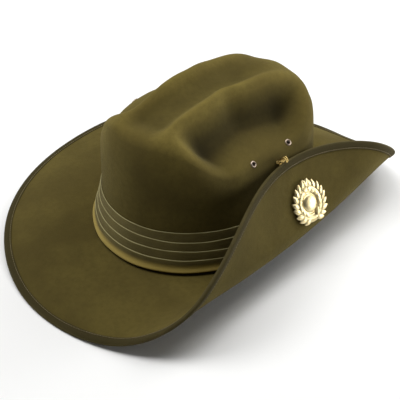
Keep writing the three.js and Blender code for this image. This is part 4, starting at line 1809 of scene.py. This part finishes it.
@dataclass
class Fastener:
    """Wire hook on the brim's edge and the wire eye on the crown that holds it."""

    form: HatForm
    wire: float = 0.5
    angle: float = math.radians(93.8)
    strand: float = 1.05
    loop: float = 1.15
    # One side of the hook from the brim's edge: how far out, share of the strand's offset and how far up.
    run: tuple[tuple[float, float, float], ...] = (
        (-0.9, 1.0, 1.9), (-0.9, 1.0, 4.4), (-0.8, 1.0, 6.6), (0.3, 1.0, 8.4), (2.0, 1.0, 8.9),
        (3.7, 0.8, 8.0), (4.3, 0.8, 6.2),
    )
    hook_ring: tuple[float, ...] = (-70, -20, 40, 100, 160, 215, 262)
    eye_ring: tuple[float, ...] = (250, 200, 150, 100, 50)
    eye_half: float = 2.6
    eye_reach: float = 1.6
    eye_rise: float = 5.6
    foot_rise: float = 3.2
    stand: float = 0.9

    def edge(self) -> Array:
        """Point of the brim's edge that the hook is sewn to."""
        return self.form.brim_point(self.angle, 1.0)

    def hook(self, finish: bpy.types.Material) -> bpy.types.Object:
        """Builds the hook from one wire bent double.

        Args:
            finish: Its material.

        Returns:
            The finished piece.
        """
        edge = self.edge()
        rows = []
        for way in (-1.0, 1.0):
            side = [edge + np.array([out, way * self.strand * share, up]) for out, share, up in self.run]
            ring = []
            for turn in np.radians(self.hook_ring):
                across = way * (self.loop + self.loop * math.cos(turn)) * 0.9 - way * 0.2
                ring.append(side[0] + np.array([-0.25, across, -1.2 + self.loop * math.sin(turn)]))
            rows.append(ring + side)
        tip = (rows[0][-1] + rows[1][-1]) / 2.0 + np.array([0.1, 0.0, -0.9])
        path = smooth_path(rows[0] + [tip] + rows[1][::-1], 6)
        points, faces = wire_shape(path, self.wire)
        made = build_object("hook_wire", placed(points), faces)
        return dress(made, finish, ["brim_hook"])

    def eye(self, finish: bpy.types.Material) -> bpy.types.Object:
        """Builds the eye, a bowed wire with a sewn ring at each foot.

        Args:
            finish: Its material.

        Returns:
            The finished piece.
        """
        edge = self.edge()
        tip = edge + np.array([self.eye_reach, 0.0, self.eye_rise])
        rows = []
        for way in (-1.0, 1.0):
            beside = edge[1] + way * self.eye_half
            point, normal = self.form.side_place(Side.LEFT, beside, edge[2] + self.foot_rise)
            foot = point + normal * (self.form.thickness / 2.0 + self.stand)
            up = unit(np.array([0.0, 0.0, 1.0]) - normal * normal[2])
            across = np.cross(normal, up)
            ring = []
            for turn in np.radians(self.eye_ring):
                reach = math.cos(turn) * up + math.sin(turn) * way * across * -1.0
                ring.append(foot - up * self.loop + self.loop * reach)
            bow = np.array([tip[0] - 0.8, edge[1] + 0.65 * way * self.eye_half, tip[2] - 0.3])
            middle = (foot + bow) / 2.0
            middle[1] = beside
            rows.append(ring + [foot, middle, bow])
        path = smooth_path(rows[0] + [tip] + rows[1][::-1], 6)
        points, faces = wire_shape(path, self.wire)
        made = build_object("eye_wire", placed(points), faces)
        return dress(made, finish, ["crown_eye"])


@dataclass
class Studio:
    """Pale floor, soft lights and the camera."""

    azimuth: float = 41.385
    elevation: float = 36.894
    roll: float = -0.2965
    distance: float = 1.5
    focal_pixels: float = 1676.5
    picture: float = 400.0
    centre_pixels: tuple[float, float] = (206.9, 204.15)
    sensor: float = 36.0
    floor_half: float = 12.0
    # Azimuth, elevation, distance, size and power of each soft light.
    lamps: tuple[tuple[float, float, float, float, float], ...] = (
        (300.0, 60.0, 1.9, 1.1, 20.0), (0.0, 88.0, 1.9, 0.9, 12.5), (160.0, 60.0, 1.9, 1.1, 11.0),
        (280.0, 12.0, 1.9, 0.9, 8.0), (160.0, 12.0, 1.9, 0.9, 4.0), (165.0, 35.0, 0.9, 0.4, 2.2),
        (130.0, 0.0, 0.55, 0.3, 1.3),
    )
    aim: tuple[float, float, float] = (0.0, 0.0, 0.06)
    sky: tuple[float, float, float, float] = (1.0, 1.0, 1.0, 1.0)
    sky_strength: float = 0.06

    @staticmethod
    def heading(azimuth: float, elevation: float) -> Vector:
        """Direction at an azimuth from the front by the left and an elevation, in degrees."""
        a, e = math.radians(azimuth), math.radians(elevation)
        return Vector((math.sin(a) * math.cos(e), -math.cos(a) * math.cos(e), math.sin(e)))

    def floor(self) -> None:
        """Lays the floor."""
        h = self.floor_half
        mesh = bpy.data.meshes.new("studio_floor")
        mesh.from_pydata([(-h, -h, 0), (h, -h, 0), (h, h, 0), (-h, h, 0)], [], [(0, 1, 2, 3)])
        mesh.materials.append(FloorFinish().material())
        made = bpy.data.objects.new("studio_floor", mesh)
        bpy.context.scene.collection.objects.link(made)

    def light(self) -> None:
        """Hangs the soft lights and sets the pale surroundings."""
        for number, (azimuth, elevation, distance, size, power) in enumerate(self.lamps):
            lamp = bpy.data.lights.new(f"soft_light_{number}", "AREA")
            lamp.shape, lamp.size, lamp.energy = "DISK", size, power
            made = bpy.data.objects.new(lamp.name, lamp)
            away = self.heading(azimuth, elevation)
            made.location = Vector(self.aim) + away * distance
            made.rotation_euler = (-away).to_track_quat("-Z", "Y").to_euler()
            made.visible_camera = False
            bpy.context.scene.collection.objects.link(made)
        world = bpy.data.worlds.new("pale_room")
        world.use_nodes = True
        room = world.node_tree.nodes["Background"]
        room.inputs["Color"].default_value = self.sky
        room.inputs["Strength"].default_value = self.sky_strength
        bpy.context.scene.world = world
        bpy.context.scene.view_settings.view_transform = "Standard"

    def camera(self) -> None:
        """Sets the camera at the photograph's viewing angle."""
        a, r = math.radians(self.azimuth), math.radians(self.roll)
        back = self.heading(self.azimuth, self.elevation)
        level = Vector((math.cos(a), math.sin(a), 0.0))
        upright = back.cross(level)
        right = math.cos(r) * level + math.sin(r) * upright
        up = back.cross(right)
        eye = bpy.data.cameras.new("camera")
        eye.sensor_width = self.sensor
        eye.lens = self.focal_pixels / self.picture * self.sensor
        eye.shift_x = (self.picture / 2.0 - self.centre_pixels[0]) / self.picture
        eye.shift_y = (self.centre_pixels[1] - self.picture / 2.0) / self.picture
        eye.clip_start, eye.clip_end = 0.05, 60.0
        made = bpy.data.objects.new("camera", eye)
        turn = Matrix((right, up, back)).transposed().to_4x4()
        target = Vector(SHIFT * TO_METRES)
        made.matrix_world = Matrix.Translation(target + back * self.distance) @ turn
        bpy.context.scene.collection.objects.link(made)
        bpy.context.scene.camera = made


def main() -> None:
    """Builds the studio and the hat's pieces in order."""
    logging.basicConfig(level=logging.INFO, format="%(message)s")
    studio = Studio()
    studio.camera()
    studio.floor()
    studio.light()
    form = HatForm()
    eyelets = Eyelets(form)
    rims = MetalFinish(
        Metal.EYELET, bright=(0.46, 0.37, 0.29), dull=(0.15, 0.11, 0.08), dulled=0.8, roughness=(0.38, 0.55)
    )
    gilt = MetalFinish(
        Metal.GILT, bright=(0.70, 0.59, 0.33), dull=(0.48, 0.37, 0.16), dulled=0.5, roughness=(0.3, 0.48)
    )
    FeltBody(form).build(eyelets.frames(), FeltFinish().material())
    PleatedBand(form).build(BandFinish().material())
    braid = EdgeBraid(form)
    braid.build(BraidFinish().material())
    braid.stitches(ThreadFinish().material())
    eyelets.build(rims.material())
    WreathBadge(form).build(gilt.material())
    fastener = Fastener(form)
    wire = MetalFinish().material()
    fastener.hook(wire)
    fastener.eye(wire)


if __name__ == "__main__":
    main()
